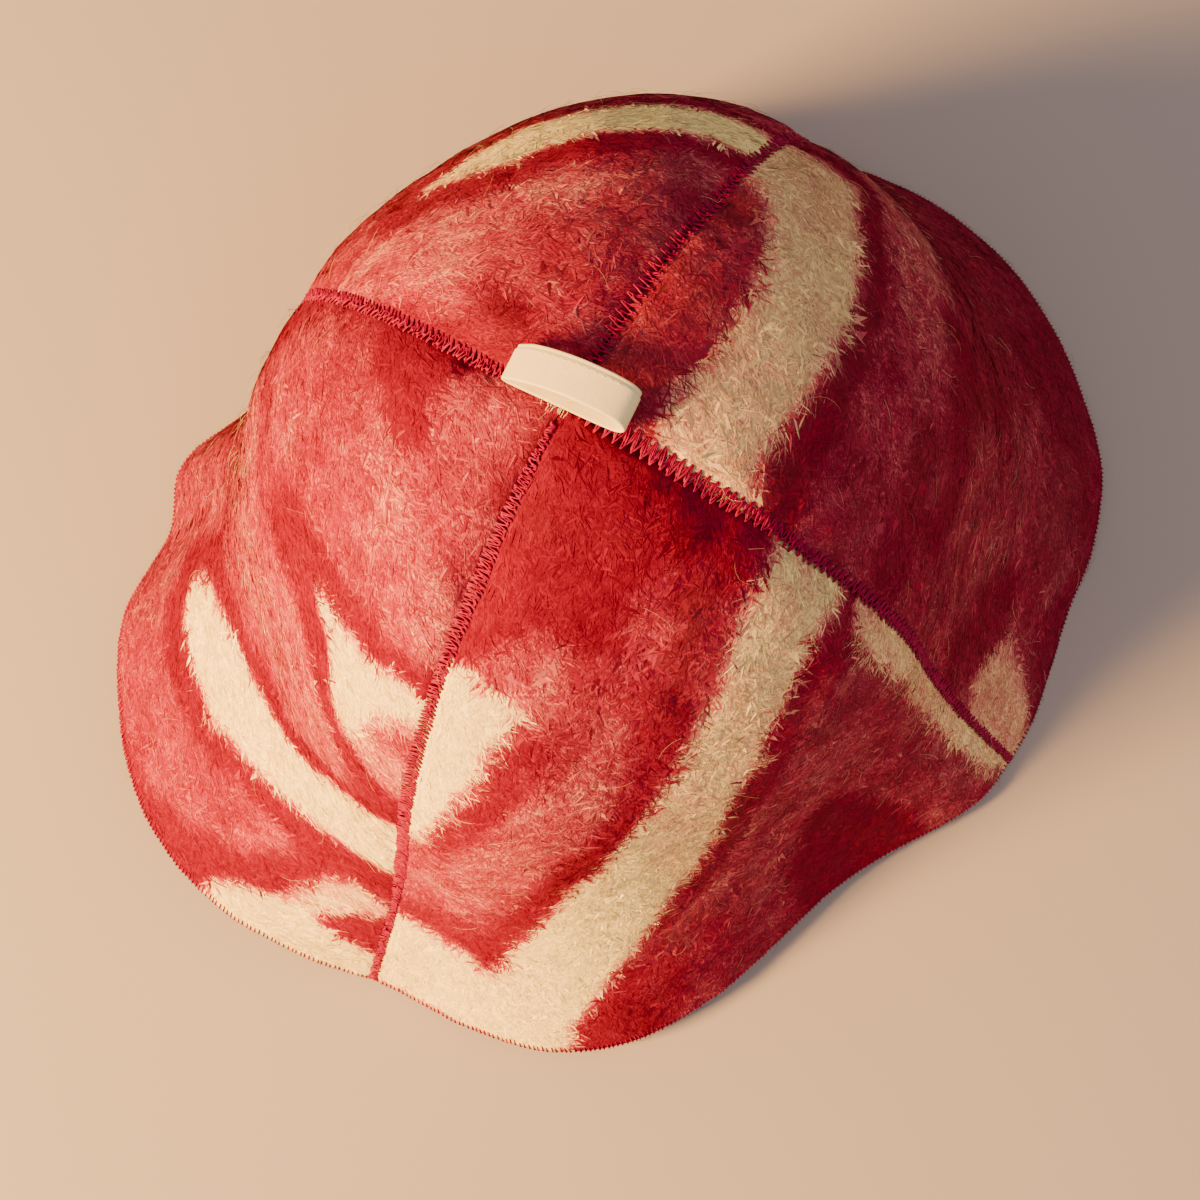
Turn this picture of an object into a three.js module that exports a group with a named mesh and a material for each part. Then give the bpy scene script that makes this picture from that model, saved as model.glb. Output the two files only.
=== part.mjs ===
// Sauna hat: a soft bell of raised wool blanket cloth, sewn from four petal-shaped gores whose lower
// ends flare into a wavy brim, with a flattened ring of ribbon at the apex to hang it by.
// Millimetres, +Z up.  The hat rests on its hem on the plane z = 0, its front is towards -Y, and the
// origin is under the middle of its bounding box.  Headings are degrees anticlockwise from +X.
import * as THREE from 'three';
import { mergeVertices } from 'three/addons/utils/BufferGeometryUtils.js';

// ---------------------------------------------------------------- the cloth
const GORE_LENGTH = 222; // apex to hem, measured along the cloth
const CLOTH_THICKNESS = 2.6;
const SEAM_GAP = 0.3; // clear space between neighbouring gores
const SEAM_VALLEY = 1.7; // how deep each seam draws the cloth in
const APEX_SHIFT = { x: -6, y: 1.5 }; // the crown's top sits a little off the middle
const APEX_SHIFT_END = 0.6; // fraction of the gore at which that shift has faded out
const TIP_RADIUS = 1; // the gores' tips stop this far from the apex
const HEM_SETTLE = 2.8; // what the hem's lowest stretches flatten by under the hat's weight

// Petals between two seams.
const GORES = [
  { name: 'gore_left', from: 134, to: 225, colour: 0xb5393f },
  { name: 'gore_front', from: 225, to: 315, colour: 0xb02b35 },
  { name: 'gore_right', from: 315, to: 405, colour: 0xa5323d },
  { name: 'gore_back', from: 45, to: 134, colour: 0xb8474b },
];
const SEAMS = GORES.map((gore) => gore.from % 360);

// Slope of the cloth below horizontal, in degrees, at fractions of the way from apex to hem.
const PROFILE = [
  { along: 0.0, slope: 0 },
  { along: 0.14, slope: 19 },
  { along: 0.28, slope: 41 },
  { along: 0.42, slope: 58 },
  { along: 0.56, slope: 72 },
  { along: 0.7, slope: 66 },
  { along: 0.85, slope: 54 },
  { along: 1.0, slope: 51 },
];

// Soft folds round the hat.  Each acts within `spread` degrees of its heading: `lean` and `flare` turn
// the crown and the brim outwards by so many degrees, and `longer` lengthens the cloth by so many mm.
const FOLDS = [
  { heading: 24, spread: 56, lean: 4, flare: -5, longer: 7 },
  { heading: 63, spread: 49, lean: 5, flare: -14, longer: 3 },
  { heading: 112, spread: 48, lean: 0, flare: -21, longer: -3 },
  { heading: 141, spread: 37, lean: 1, flare: -12, longer: -3 },
  { heading: 154, spread: 10, lean: 0, flare: 3.2, longer: 0 },
  { heading: 163, spread: 10, lean: 0, flare: -2.2, longer: 0 },
  { heading: 174, spread: 11, lean: 0, flare: 1.2, longer: 0 },
  { heading: 196, spread: 37, lean: -1, flare: 16, longer: -1 },
  { heading: 226, spread: 43, lean: 5, flare: -8, longer: 11 },
  { heading: 263, spread: 43, lean: 0, flare: 5, longer: 2 },
  { heading: 286, spread: 43, lean: -2, flare: -16, longer: -11 },
  { heading: 329, spread: 26, lean: -5, flare: -5, longer: 1 },
];
const CROWN_FOLDS = { start: 0, full: 0.3, fade: 0.36, end: 0.7 }; // where `lean` acts, along the gore
const BRIM_FOLDS = { start: 0.5, full: 0.84 }; // where `flare` sets in

// ---------------------------------------------------------------- the ribbon loop
const RIBBON_WIDTH = 10;
const RIBBON_THICKNESS = 0.6;
const LOOP_HEADING = -41; // direction of the loop's length
const LOOP_OFFSET = 4; // the ribbon lies behind the apex by this much, square to its length
const LOOP_SEAT = 0.3; // clear space between the ribbon and the cloth under it

// Middle line of the ribbon seen along its width: `out` along the loop's length from its middle,
// `up` above its seat.  It runs from the sewn middle round the soft bend and back to the sharp fold.
const LOOP_LINE = [
  { out: 0, up: 0.3 },
  { out: 7, up: 0.3 },
  { out: 12, up: 0.9 },
  { out: 13.8, up: 3.2 },
  { out: 12, up: 5.9 },
  { out: 7, up: 7.1 },
  { out: 0, up: 6.9 },
  { out: -7, up: 5.1 },
  { out: -12.2, up: 2.4 },
  { out: -13.7, up: 1.1 },
  { out: -12.2, up: 0.4 },
  { out: -7, up: 0.3 },
];
const RIBBON_COLOUR = 0xe9dcc0;

// ---------------------------------------------------------------- fineness of the facets
const COLUMNS = 16; // across each gore
const ROWS = 24; // from tip to hem
const SLOPE_STEPS = 48; // steps that add up the slope along a gore
const NORMAL_STEP = { heading: 1.5, along: 0.01 }; // how far apart the surface is sampled for a normal
const LOOP_STEPS = 48; // round the ribbon's middle line
const FLOOR_SAMPLES = 240; // round the hem, to find its lowest point

function smoothStep(value, start, end) {
  return THREE.MathUtils.smoothstep(value, start, end);
}

/** Reads the slope at a fraction of the gore, on a smooth curve through the rows of PROFILE. */
function profileSlope(along) {
  const last = PROFILE.length - 1;
  let row = 0;
  while (row < last - 1 && along >= PROFILE[row + 1].along) {
    row += 1;
  }
  const steepness = (index) => {
    const before = PROFILE[Math.max(index - 1, 0)];
    const after = PROFILE[Math.min(index + 1, last)];
    return (after.slope - before.slope) / (after.along - before.along);
  };
  const span = PROFILE[row + 1].along - PROFILE[row].along;
  const t = (along - PROFILE[row].along) / span;
  const ease = t * t * (3 - 2 * t);
  const leaving = t * (1 - t) * (1 - t) * span * steepness(row);
  const arriving = t * t * (t - 1) * span * steepness(row + 1);
  return THREE.MathUtils.lerp(PROFILE[row].slope, PROFILE[row + 1].slope, ease) + leaving + arriving;
}

/** Adds up one column of FOLDS at a heading, each fold fading as a squared cosine. */
function foldSum(heading, column) {
  let sum = 0;
  for (const fold of FOLDS) {
    const apart = Math.abs(THREE.MathUtils.euclideanModulo(heading - fold.heading + 180, 360) - 180);
    if (apart < fold.spread) {
      sum += fold[column] * Math.cos((apart / fold.spread) * (Math.PI / 2)) ** 2;
    }
  }
  return sum;
}

/** 1 on a seam, falling to 0 at the middle of a gore. */
function seamCloseness(heading) {
  const turn = THREE.MathUtils.euclideanModulo(heading, 360);
  for (const gore of GORES) {
    const into = THREE.MathUtils.euclideanModulo(turn - gore.from, 360);
    const width = gore.to - gore.from;
    if (into <= width) {
      return (1 - Math.sin((Math.PI * into) / width)) ** 3;
    }
  }
  return 1;
}

/** A point on the outside of the cloth, with the apex at height 0. */
function clothPoint(heading, along) {
  const lean = foldSum(heading, 'lean');
  const flare = foldSum(heading, 'flare');
  const length = GORE_LENGTH + foldSum(heading, 'longer');
  const slopeAt = (fraction) => {
    const inCrown =
      smoothStep(fraction, CROWN_FOLDS.start, CROWN_FOLDS.full) *
      (1 - smoothStep(fraction, CROWN_FOLDS.fade, CROWN_FOLDS.end));
    const inBrim = smoothStep(fraction, BRIM_FOLDS.start, BRIM_FOLDS.full);
    return THREE.MathUtils.degToRad(profileSlope(fraction) - inCrown * lean - inBrim * flare);
  };
  const step = along / SLOPE_STEPS;
  let radius = 0;
  let height = 0;
  for (let index = 0; index < SLOPE_STEPS; index += 1) {
    const slope = slopeAt((index + 0.5) * step);
    radius += Math.cos(slope) * step * length;
    height -= Math.sin(slope) * step * length;
  }
  const slope = slopeAt(along);
  const fade = smoothStep(along, 0, 0.12) * (1 - 0.5 * smoothStep(along, 0.5, 0.8));
  const valley = SEAM_VALLEY * seamCloseness(heading) * fade;
  radius -= valley * Math.sin(slope);
  height -= valley * Math.cos(slope);
  const shift = smoothStep(1 - along / APEX_SHIFT_END, 0, 1);
  const angle = THREE.MathUtils.degToRad(heading);
  return new THREE.Vector3(
    radius * Math.cos(angle) + APEX_SHIFT.x * shift,
    radius * Math.sin(angle) + APEX_SHIFT.y * shift,
    height,
  );
}

/** The outward normal of the cloth; across a seam it is the mean of both sides. */
function clothNormal(heading, along) {
  const low = Math.max(along - NORMAL_STEP.along, 0);
  const high = Math.min(along + NORMAL_STEP.along, 1);
  const downhill = clothPoint(heading, high).sub(clothPoint(heading, low));
  const around = clothPoint(heading + NORMAL_STEP.heading, along).sub(
    clothPoint(heading - NORMAL_STEP.heading, along),
  );
  return downhill.cross(around).normalize();
}

/** The point on the inside of the cloth, square behind clothPoint. */
function liningPoint(heading, along) {
  return clothPoint(heading, along).addScaledVector(clothNormal(heading, along), -CLOTH_THICKNESS);
}

/** How far the apex stands above the floor once the hem has settled. */
function apexHeight() {
  let lowest = 0;
  for (let index = 0; index < FLOOR_SAMPLES; index += 1) {
    lowest = Math.min(lowest, liningPoint((index * 360) / FLOOR_SAMPLES, 1).z);
  }
  return -lowest - HEM_SETTLE;
}

const APEX_HEIGHT = apexHeight();

/** Stands a point on the floor; what would reach below it lies flat on it. */
function settle(point) {
  point.z = Math.max(point.z + APEX_HEIGHT, 0);
  return point;
}

/** The heading of one column of a gore, kept half a seam gap inside its seams at any radius. */
function columnHeading(gore, column, along) {
  const radius = Math.max(GORE_LENGTH * along * 0.6, TIP_RADIUS);
  const inset = THREE.MathUtils.radToDeg(Math.asin(SEAM_GAP / 2 / radius));
  return THREE.MathUtils.lerp(gore.from + inset, gore.to - inset, column / COLUMNS);
}

/** A closed wall between the outside and the inside of one gore. */
function goreGeometry(gore) {
  const tip = TIP_RADIUS / GORE_LENGTH;
  const width = COLUMNS + 1;
  const layerSize = width * (ROWS + 1);
  const positions = [];
  for (const surface of [clothPoint, liningPoint]) {
    for (let row = 0; row <= ROWS; row += 1) {
      const along = THREE.MathUtils.lerp(tip, 1, row / ROWS);
      for (let column = 0; column <= COLUMNS; column += 1) {
        const point = settle(surface(columnHeading(gore, column, along), along));
        positions.push(point.x, point.y, point.z);
      }
    }
  }
  const triangles = [];
  const quad = (a, b, c, d) => triangles.push(a, b, c, a, c, d);
  const outer = (row, column) => row * width + column;
  const inner = (row, column) => layerSize + outer(row, column);
  for (let row = 0; row < ROWS; row += 1) {
    for (let column = 0; column < COLUMNS; column += 1) {
      quad(outer(row, column), outer(row + 1, column), outer(row + 1, column + 1), outer(row, column + 1));
      quad(inner(row, column), inner(row, column + 1), inner(row + 1, column + 1), inner(row + 1, column));
    }
    quad(outer(row, 0), inner(row, 0), inner(row + 1, 0), outer(row + 1, 0));
    quad(outer(row, COLUMNS), outer(row + 1, COLUMNS), inner(row + 1, COLUMNS), inner(row, COLUMNS));
  }
  for (let column = 0; column < COLUMNS; column += 1) {
    quad(outer(0, column), outer(0, column + 1), inner(0, column + 1), inner(0, column));
    quad(outer(ROWS, column), inner(ROWS, column), inner(ROWS, column + 1), outer(ROWS, column + 1));
  }
  return closedGeometry(positions, triangles);
}

/** A BufferGeometry from shared corners and triangles. */
function closedGeometry(positions, triangles) {
  const geometry = new THREE.BufferGeometry();
  geometry.setAttribute('position', new THREE.Float32BufferAttribute(positions, 3));
  geometry.setIndex(triangles);
  geometry.computeVertexNormals();
  return geometry;
}

/** The closed middle line of the ribbon, as points in the plane of its length and its height. */
function loopLine() {
  const corners = LOOP_LINE.map((row) => new THREE.Vector3(row.out, row.up, 0));
  const curve = new THREE.CatmullRomCurve3(corners, true, 'centripetal');
  return curve.getSpacedPoints(LOOP_STEPS).slice(0, LOOP_STEPS);
}

/** The middle line moved sideways by `distance`, outwards where that is positive. */
function offsetLine(line, distance) {
  return line.map((point, index) => {
    const before = line[(index + line.length - 1) % line.length];
    const after = line[(index + 1) % line.length];
    const direction = new THREE.Vector2(after.x - before.x, after.y - before.y).normalize();
    return new THREE.Vector2(point.x + direction.y * distance, point.y - direction.x * distance);
  });
}

/** The ribbon ring: its outline seen from the side, extruded by the ribbon's width. */
function loopGeometry() {
  const line = loopLine();
  const outline = new THREE.Shape(offsetLine(line, RIBBON_THICKNESS / 2));
  outline.holes.push(new THREE.Path(offsetLine(line, -RIBBON_THICKNESS / 2)));
  const geometry = new THREE.ExtrudeGeometry(outline, { depth: RIBBON_WIDTH, bevelEnabled: false });
  geometry.translate(0, 0, -RIBBON_WIDTH / 2);
  geometry.rotateX(Math.PI / 2);
  geometry.deleteAttribute('uv');
  geometry.deleteAttribute('normal');
  const merged = mergeVertices(geometry);
  merged.computeVertexNormals();
  return merged;
}

function clothMaterial(colour) {
  return new THREE.MeshStandardMaterial({ color: colour, roughness: 0.95, metalness: 0 });
}

function ribbonMaterial() {
  return new THREE.MeshStandardMaterial({ color: RIBBON_COLOUR, roughness: 0.5, metalness: 0 });
}

function hangLoop() {
  const loop = new THREE.Mesh(loopGeometry(), ribbonMaterial());
  const heading = THREE.MathUtils.degToRad(LOOP_HEADING);
  loop.name = 'hang_loop';
  loop.rotation.z = heading;
  loop.position.set(
    APEX_SHIFT.x - LOOP_OFFSET * Math.sin(heading),
    APEX_SHIFT.y + LOOP_OFFSET * Math.cos(heading),
    APEX_HEIGHT + LOOP_SEAT,
  );
  return loop;
}

const hat = new THREE.Group();
for (const gore of GORES) {
  const mesh = new THREE.Mesh(goreGeometry(gore), clothMaterial(gore.colour));
  mesh.name = gore.name;
  hat.add(mesh);
}
hat.add(hangLoop());

// The origin goes under the middle of the bounding box.
const box = new THREE.Box3().setFromObject(hat);
hat.position.set(-(box.min.x + box.max.x) / 2, -(box.min.y + box.max.y) / 2, 0);

export default hat;
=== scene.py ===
import logging
import math
from dataclasses import dataclass, field
from enum import Enum

import bmesh
import bpy
import numpy as np
from mathutils import Matrix, Vector


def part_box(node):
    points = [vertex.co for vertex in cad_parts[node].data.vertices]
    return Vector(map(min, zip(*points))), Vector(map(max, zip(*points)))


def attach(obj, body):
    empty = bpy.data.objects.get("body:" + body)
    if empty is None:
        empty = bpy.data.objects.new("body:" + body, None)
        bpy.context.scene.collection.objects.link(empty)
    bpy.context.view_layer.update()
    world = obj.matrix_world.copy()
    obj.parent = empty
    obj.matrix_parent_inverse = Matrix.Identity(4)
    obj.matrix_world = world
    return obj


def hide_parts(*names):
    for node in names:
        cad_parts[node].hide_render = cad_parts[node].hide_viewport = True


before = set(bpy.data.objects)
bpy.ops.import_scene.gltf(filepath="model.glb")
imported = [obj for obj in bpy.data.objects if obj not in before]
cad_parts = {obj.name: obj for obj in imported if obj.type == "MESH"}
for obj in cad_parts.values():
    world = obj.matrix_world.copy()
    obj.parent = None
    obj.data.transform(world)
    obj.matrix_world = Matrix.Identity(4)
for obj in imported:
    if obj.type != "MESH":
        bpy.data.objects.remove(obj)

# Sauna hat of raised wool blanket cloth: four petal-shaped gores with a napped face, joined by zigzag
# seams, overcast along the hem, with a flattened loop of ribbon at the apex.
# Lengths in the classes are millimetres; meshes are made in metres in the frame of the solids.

Array = np.ndarray
LOG = logging.getLogger("sauna_hat")
MM = 0.001


# ------------------------------------------------------------------------------------ small helpers
def smooth(value: Array, start: float, end: float) -> Array:
    """Eases from 0 at start to 1 at end.

    Args:
        value: Numbers to ease.
        start: Where the ease leaves 0.
        end: Where it reaches 1.

    Returns:
        Numbers from 0 to 1.
    """
    t = np.clip((np.asarray(value, float) - start) / (end - start), 0.0, 1.0)
    return t * t * (3.0 - 2.0 * t)


def unit(vectors: Array) -> Array:
    """Vectors of length 1 along the last axis."""
    return vectors / np.maximum(np.linalg.norm(vectors, axis=-1, keepdims=True), 1e-9)


class SoftNoise:
    """Smooth noise on a lattice of seeded random numbers."""

    SIZE = 4096

    def __init__(self, seed: int) -> None:
        """Draws the lattice's numbers from a seed."""
        self.values = np.random.default_rng(seed).uniform(-1.0, 1.0, self.SIZE)

    def _corner(self, cell: Array) -> Array:
        """The number at a lattice corner."""
        mixed = cell[..., 0] * 73856093 ^ cell[..., 1] * 19349663 ^ cell[..., 2] * 83492791
        return self.values[mixed & (self.SIZE - 1)]

    def __call__(self, places: Array, size: float) -> Array:
        """Samples the noise.

        Args:
            places: Points, three numbers each.
            size: Distance over which the noise changes.

        Returns:
            Numbers from -1 to 1.
        """
        scaled = np.asarray(places, float) / size
        cell = np.floor(scaled).astype(np.int64)
        part = scaled - cell
        part = part * part * (3.0 - 2.0 * part)
        total = np.zeros(scaled.shape[:-1])
        for x in (0, 1):
            for y in (0, 1):
                for z in (0, 1):
                    step = np.array([x, y, z])
                    share = np.abs(1 - step - part).prod(-1)
                    total += share * self._corner(cell + step)
        return total


# --------------------------------------------------------------------------------- form of the hat
@dataclass(frozen=True)
class Fold:
    """A soft fold: within spread of its heading it leans the crown, flares the brim and lengthens."""

    heading: float
    spread: float
    lean: float
    flare: float
    longer: float


@dataclass
class HatForm:
    """The cloth's outside face, from the same named values as the solids."""

    gore_length: float = 222.0
    thickness: float = 2.6
    seam_valley: float = 1.7
    apex_shift: tuple[float, float] = (-6.0, 1.5)
    apex_shift_end: float = 0.6
    hem_settle: float = 2.8
    seams: tuple[float, ...] = (45.0, 134.0, 225.0, 315.0)
    profile_along: tuple[float, ...] = (0.0, 0.14, 0.28, 0.42, 0.56, 0.7, 0.85, 1.0)
    profile_slope: tuple[float, ...] = (0.0, 19.0, 41.0, 58.0, 72.0, 66.0, 54.0, 51.0)
    folds: tuple[Fold, ...] = (
        Fold(24, 56, 4, -5, 7),
        Fold(63, 49, 5, -14, 3),
        Fold(112, 48, 0, -21, -3),
        Fold(141, 37, 1, -12, -3),
        Fold(154, 10, 0, 3.2, 0),
        Fold(163, 10, 0, -2.2, 0),
        Fold(174, 11, 0, 1.2, 0),
        Fold(196, 37, -1, 16, -1),
        Fold(226, 43, 5, -8, 11),
        Fold(263, 43, 0, 5, 2),
        Fold(286, 43, -2, -16, -11),
        Fold(329, 26, -5, -5, 1),
    )
    crown_from: tuple[float, float] = (0.0, 0.3)
    crown_to: tuple[float, float] = (0.36, 0.7)
    brim_from: tuple[float, float] = (0.5, 0.84)
    valley_from: tuple[float, float] = (0.0, 0.12)
    valley_to: tuple[float, float] = (0.5, 0.8)
    valley_at_brim: float = 0.5
    steps: int = 48
    apex_height: float = field(init=False, default=0.0)
    shift: Array = field(init=False, default=None)

    def __post_init__(self) -> None:
        """Stands the form on the floor and moves it to the solids' middle."""
        self.shift = np.zeros(3)
        heading = np.arange(240) * 1.5
        hem = np.ones_like(heading)
        inside = self.cloth(heading, hem) - self.thickness * self.normal(heading, hem)
        self.apex_height = -float(inside[:, 2].min()) - self.hem_settle
        around, down = np.meshgrid(np.arange(0.0, 360.0, 2.0), np.linspace(0.5, 1.0, 26))
        outside = self.cloth(around, down).reshape(-1, 3)
        own = (outside.min(0) + outside.max(0)) / 2
        boxes = [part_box(node) for node in GORE_NODES]
        low = np.min([np.array(box[0]) for box in boxes], 0) / MM
        high = np.max([np.array(box[1]) for box in boxes], 0) / MM
        self.shift = np.array([*((low + high) / 2 - own)[:2], self.apex_height])

    def _profile(self, along: Array) -> Array:
        """Slope of the plain bell at a fraction of the gore, in degrees.

        Args:
            along: Fractions of the way from apex to hem.

        Returns:
            Slopes in degrees.
        """
        xs = np.array(self.profile_along)
        ys = np.array(self.profile_slope)
        steep = np.empty(len(xs))
        steep[1:-1] = (ys[2:] - ys[:-2]) / (xs[2:] - xs[:-2])
        steep[0] = (ys[1] - ys[0]) / (xs[1] - xs[0])
        steep[-1] = (ys[-1] - ys[-2]) / (xs[-1] - xs[-2])
        row = np.clip(np.searchsorted(xs, along, side="right") - 1, 0, len(xs) - 2)
        span = xs[row + 1] - xs[row]
        t = (along - xs[row]) / span
        ease = t * t * (3 - 2 * t)
        bend = t * (1 - t) * ((1 - t) * steep[row] - t * steep[row + 1]) * span
        return ys[row] + (ys[row + 1] - ys[row]) * ease + bend

    def _fold_sum(self, heading: Array, column: str) -> Array:
        """Sum of one column of the folds at each heading.

        Args:
            heading: Degrees anticlockwise from +X.
            column: Which number of each fold is summed.

        Returns:
            One sum a heading.
        """
        total = np.zeros_like(heading)
        for fold in self.folds:
            apart = np.abs(np.mod(heading - fold.heading + 180.0, 360.0) - 180.0)
            weight = np.cos(np.clip(apart / fold.spread, 0.0, 1.0) * math.pi / 2) ** 2
            total += getattr(fold, column) * weight
        return total

    def _seam_closeness(self, heading: Array) -> Array:
        """1 on a seam, falling to 0 at the middle of a gore.

        Args:
            heading: Degrees anticlockwise from +X.

        Returns:
            Numbers from 0 to 1.
        """
        starts = np.array(self.seams)
        widths = np.mod(np.roll(starts, -1) - starts, 360.0)
        turn = np.mod(heading - starts[0], 360.0)
        index = np.clip(np.searchsorted(starts - starts[0], turn, side="right") - 1, 0, 3)
        into = turn - (starts - starts[0])[index]
        return (1 - np.sin(math.pi * np.clip(into / widths[index], 0, 1))) ** 3

    def length(self, heading: Array) -> Array:
        """The gore's length at each heading."""
        return self.gore_length + self._fold_sum(np.asarray(heading, float), "longer")

    def cloth(self, heading: Array, along: Array) -> Array:
        """Points on the outside of the cloth.

        Args:
            heading: Degrees anticlockwise from +X.
            along: Fractions of the way from apex to hem.

        Returns:
            Points in the solids' frame.
        """
        heading, along = np.broadcast_arrays(np.asarray(heading, float), np.asarray(along, float))
        lean = self._fold_sum(heading, "lean")
        flare = self._fold_sum(heading, "flare")
        length = self.length(heading)

        def slope(at: Array) -> Array:
            """Slope of the cloth at fractions along the gore, in radians."""
            crown = smooth(at, *self.crown_from) * (1 - smooth(at, *self.crown_to))
            brim = smooth(at, *self.brim_from)
            return np.radians(self._profile(at) - crown * lean - brim * flare)

        step = along / self.steps
        radius = np.zeros_like(heading)
        height = np.zeros_like(heading)
        for index in range(self.steps):
            angle = slope((index + 0.5) * step)
            radius += np.cos(angle) * step * length
            height -= np.sin(angle) * step * length
        angle = slope(along)
        fade = smooth(along, *self.valley_from) * (1 - self.valley_at_brim * smooth(along, *self.valley_to))
        valley = self.seam_valley * self._seam_closeness(heading) * fade
        radius = radius - valley * np.sin(angle)
        height = height - valley * np.cos(angle)
        drift = smooth(1 - along / self.apex_shift_end, 0.0, 1.0)
        turn = np.radians(heading)
        return np.stack(
            [
                radius * np.cos(turn) + self.apex_shift[0] * drift,
                radius * np.sin(turn) + self.apex_shift[1] * drift,
                height,
            ],
            -1,
        ) + self.shift

    def normal(self, heading: Array, along: Array) -> Array:
        """Outward unit normals of the cloth.

        Args:
            heading: Degrees anticlockwise from +X.
            along: Fractions of the way from apex to hem.

        Returns:
            Vectors of length 1.
        """
        low = np.maximum(np.asarray(along) - 0.01, 0.0)
        high = np.minimum(np.asarray(along) + 0.01, 1.0)
        downhill = self.cloth(heading, high) - self.cloth(heading, low)
        around = self.cloth(heading + 1.5, along) - self.cloth(heading - 1.5, along)
        return unit(np.cross(downhill, around))


# ------------------------------------------------------------------------- pattern of the blanket
class Dye(Enum):
    """Shares of cream wool and of wine-dark wool in a part of the pattern; the rest is red. One of them is
    cream darkened with wine wool, laid as painted shade.
    """

    CREAM = (1.0, 0.0)
    BLUSH = (0.76, 0.0)
    # Cream darkened with wine wool: painted shade on cream bands that lie in shade.
    SHADED_CREAM = (0.93, 0.32)
    ROSE = (0.37, 0.06)
    DUSK = (0.38, 0.30)
    MADDER = (0.28, 0.12)
    RED = (0.04, 0.02)
    CLARET = (0.05, 0.32)
    WINE = (0.08, 0.85)


class Lie(Enum):
    """How a band's rows read: heading, top and bottom round the hat, or fraction, start and end down it."""

    ROUND = "round"
    DOWN = "down"


@dataclass(frozen=True)
class Mottle:
    """Layers of noise over the flat cloth: each one's strength, size and place in the noise."""

    layers: tuple[tuple[float, float, float], ...]

    def over(self, noise: SoftNoise, flat: Array) -> Array:
        """The sum of the layers at places on the flat cloth."""
        return sum(strength * noise(flat + start, size) for strength, size, start in self.layers)


NAP_STRETCH = 0.6
EDGE_WANDER = Mottle(((1.4, 7.0, 0.0), (1.2, 2.4, 31.0)))
CREAM_BLOTCH = Mottle(((0.45, 4.0, 11.0), (0.5, 2.1, 57.0), (0.3, 13.0, 5.0)))
WINE_BLOTCH = Mottle(((0.7, 5.5, 83.0), (0.5, 2.4, 19.0)))


@dataclass(frozen=True)
class Band:
    """One soft-edged shape of the blanket's pattern."""

    dye: Dye
    lie: Lie
    rows: tuple[tuple[float, float, float], ...]
    strength: float = 1.0
    soft: float = 2.0


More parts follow.
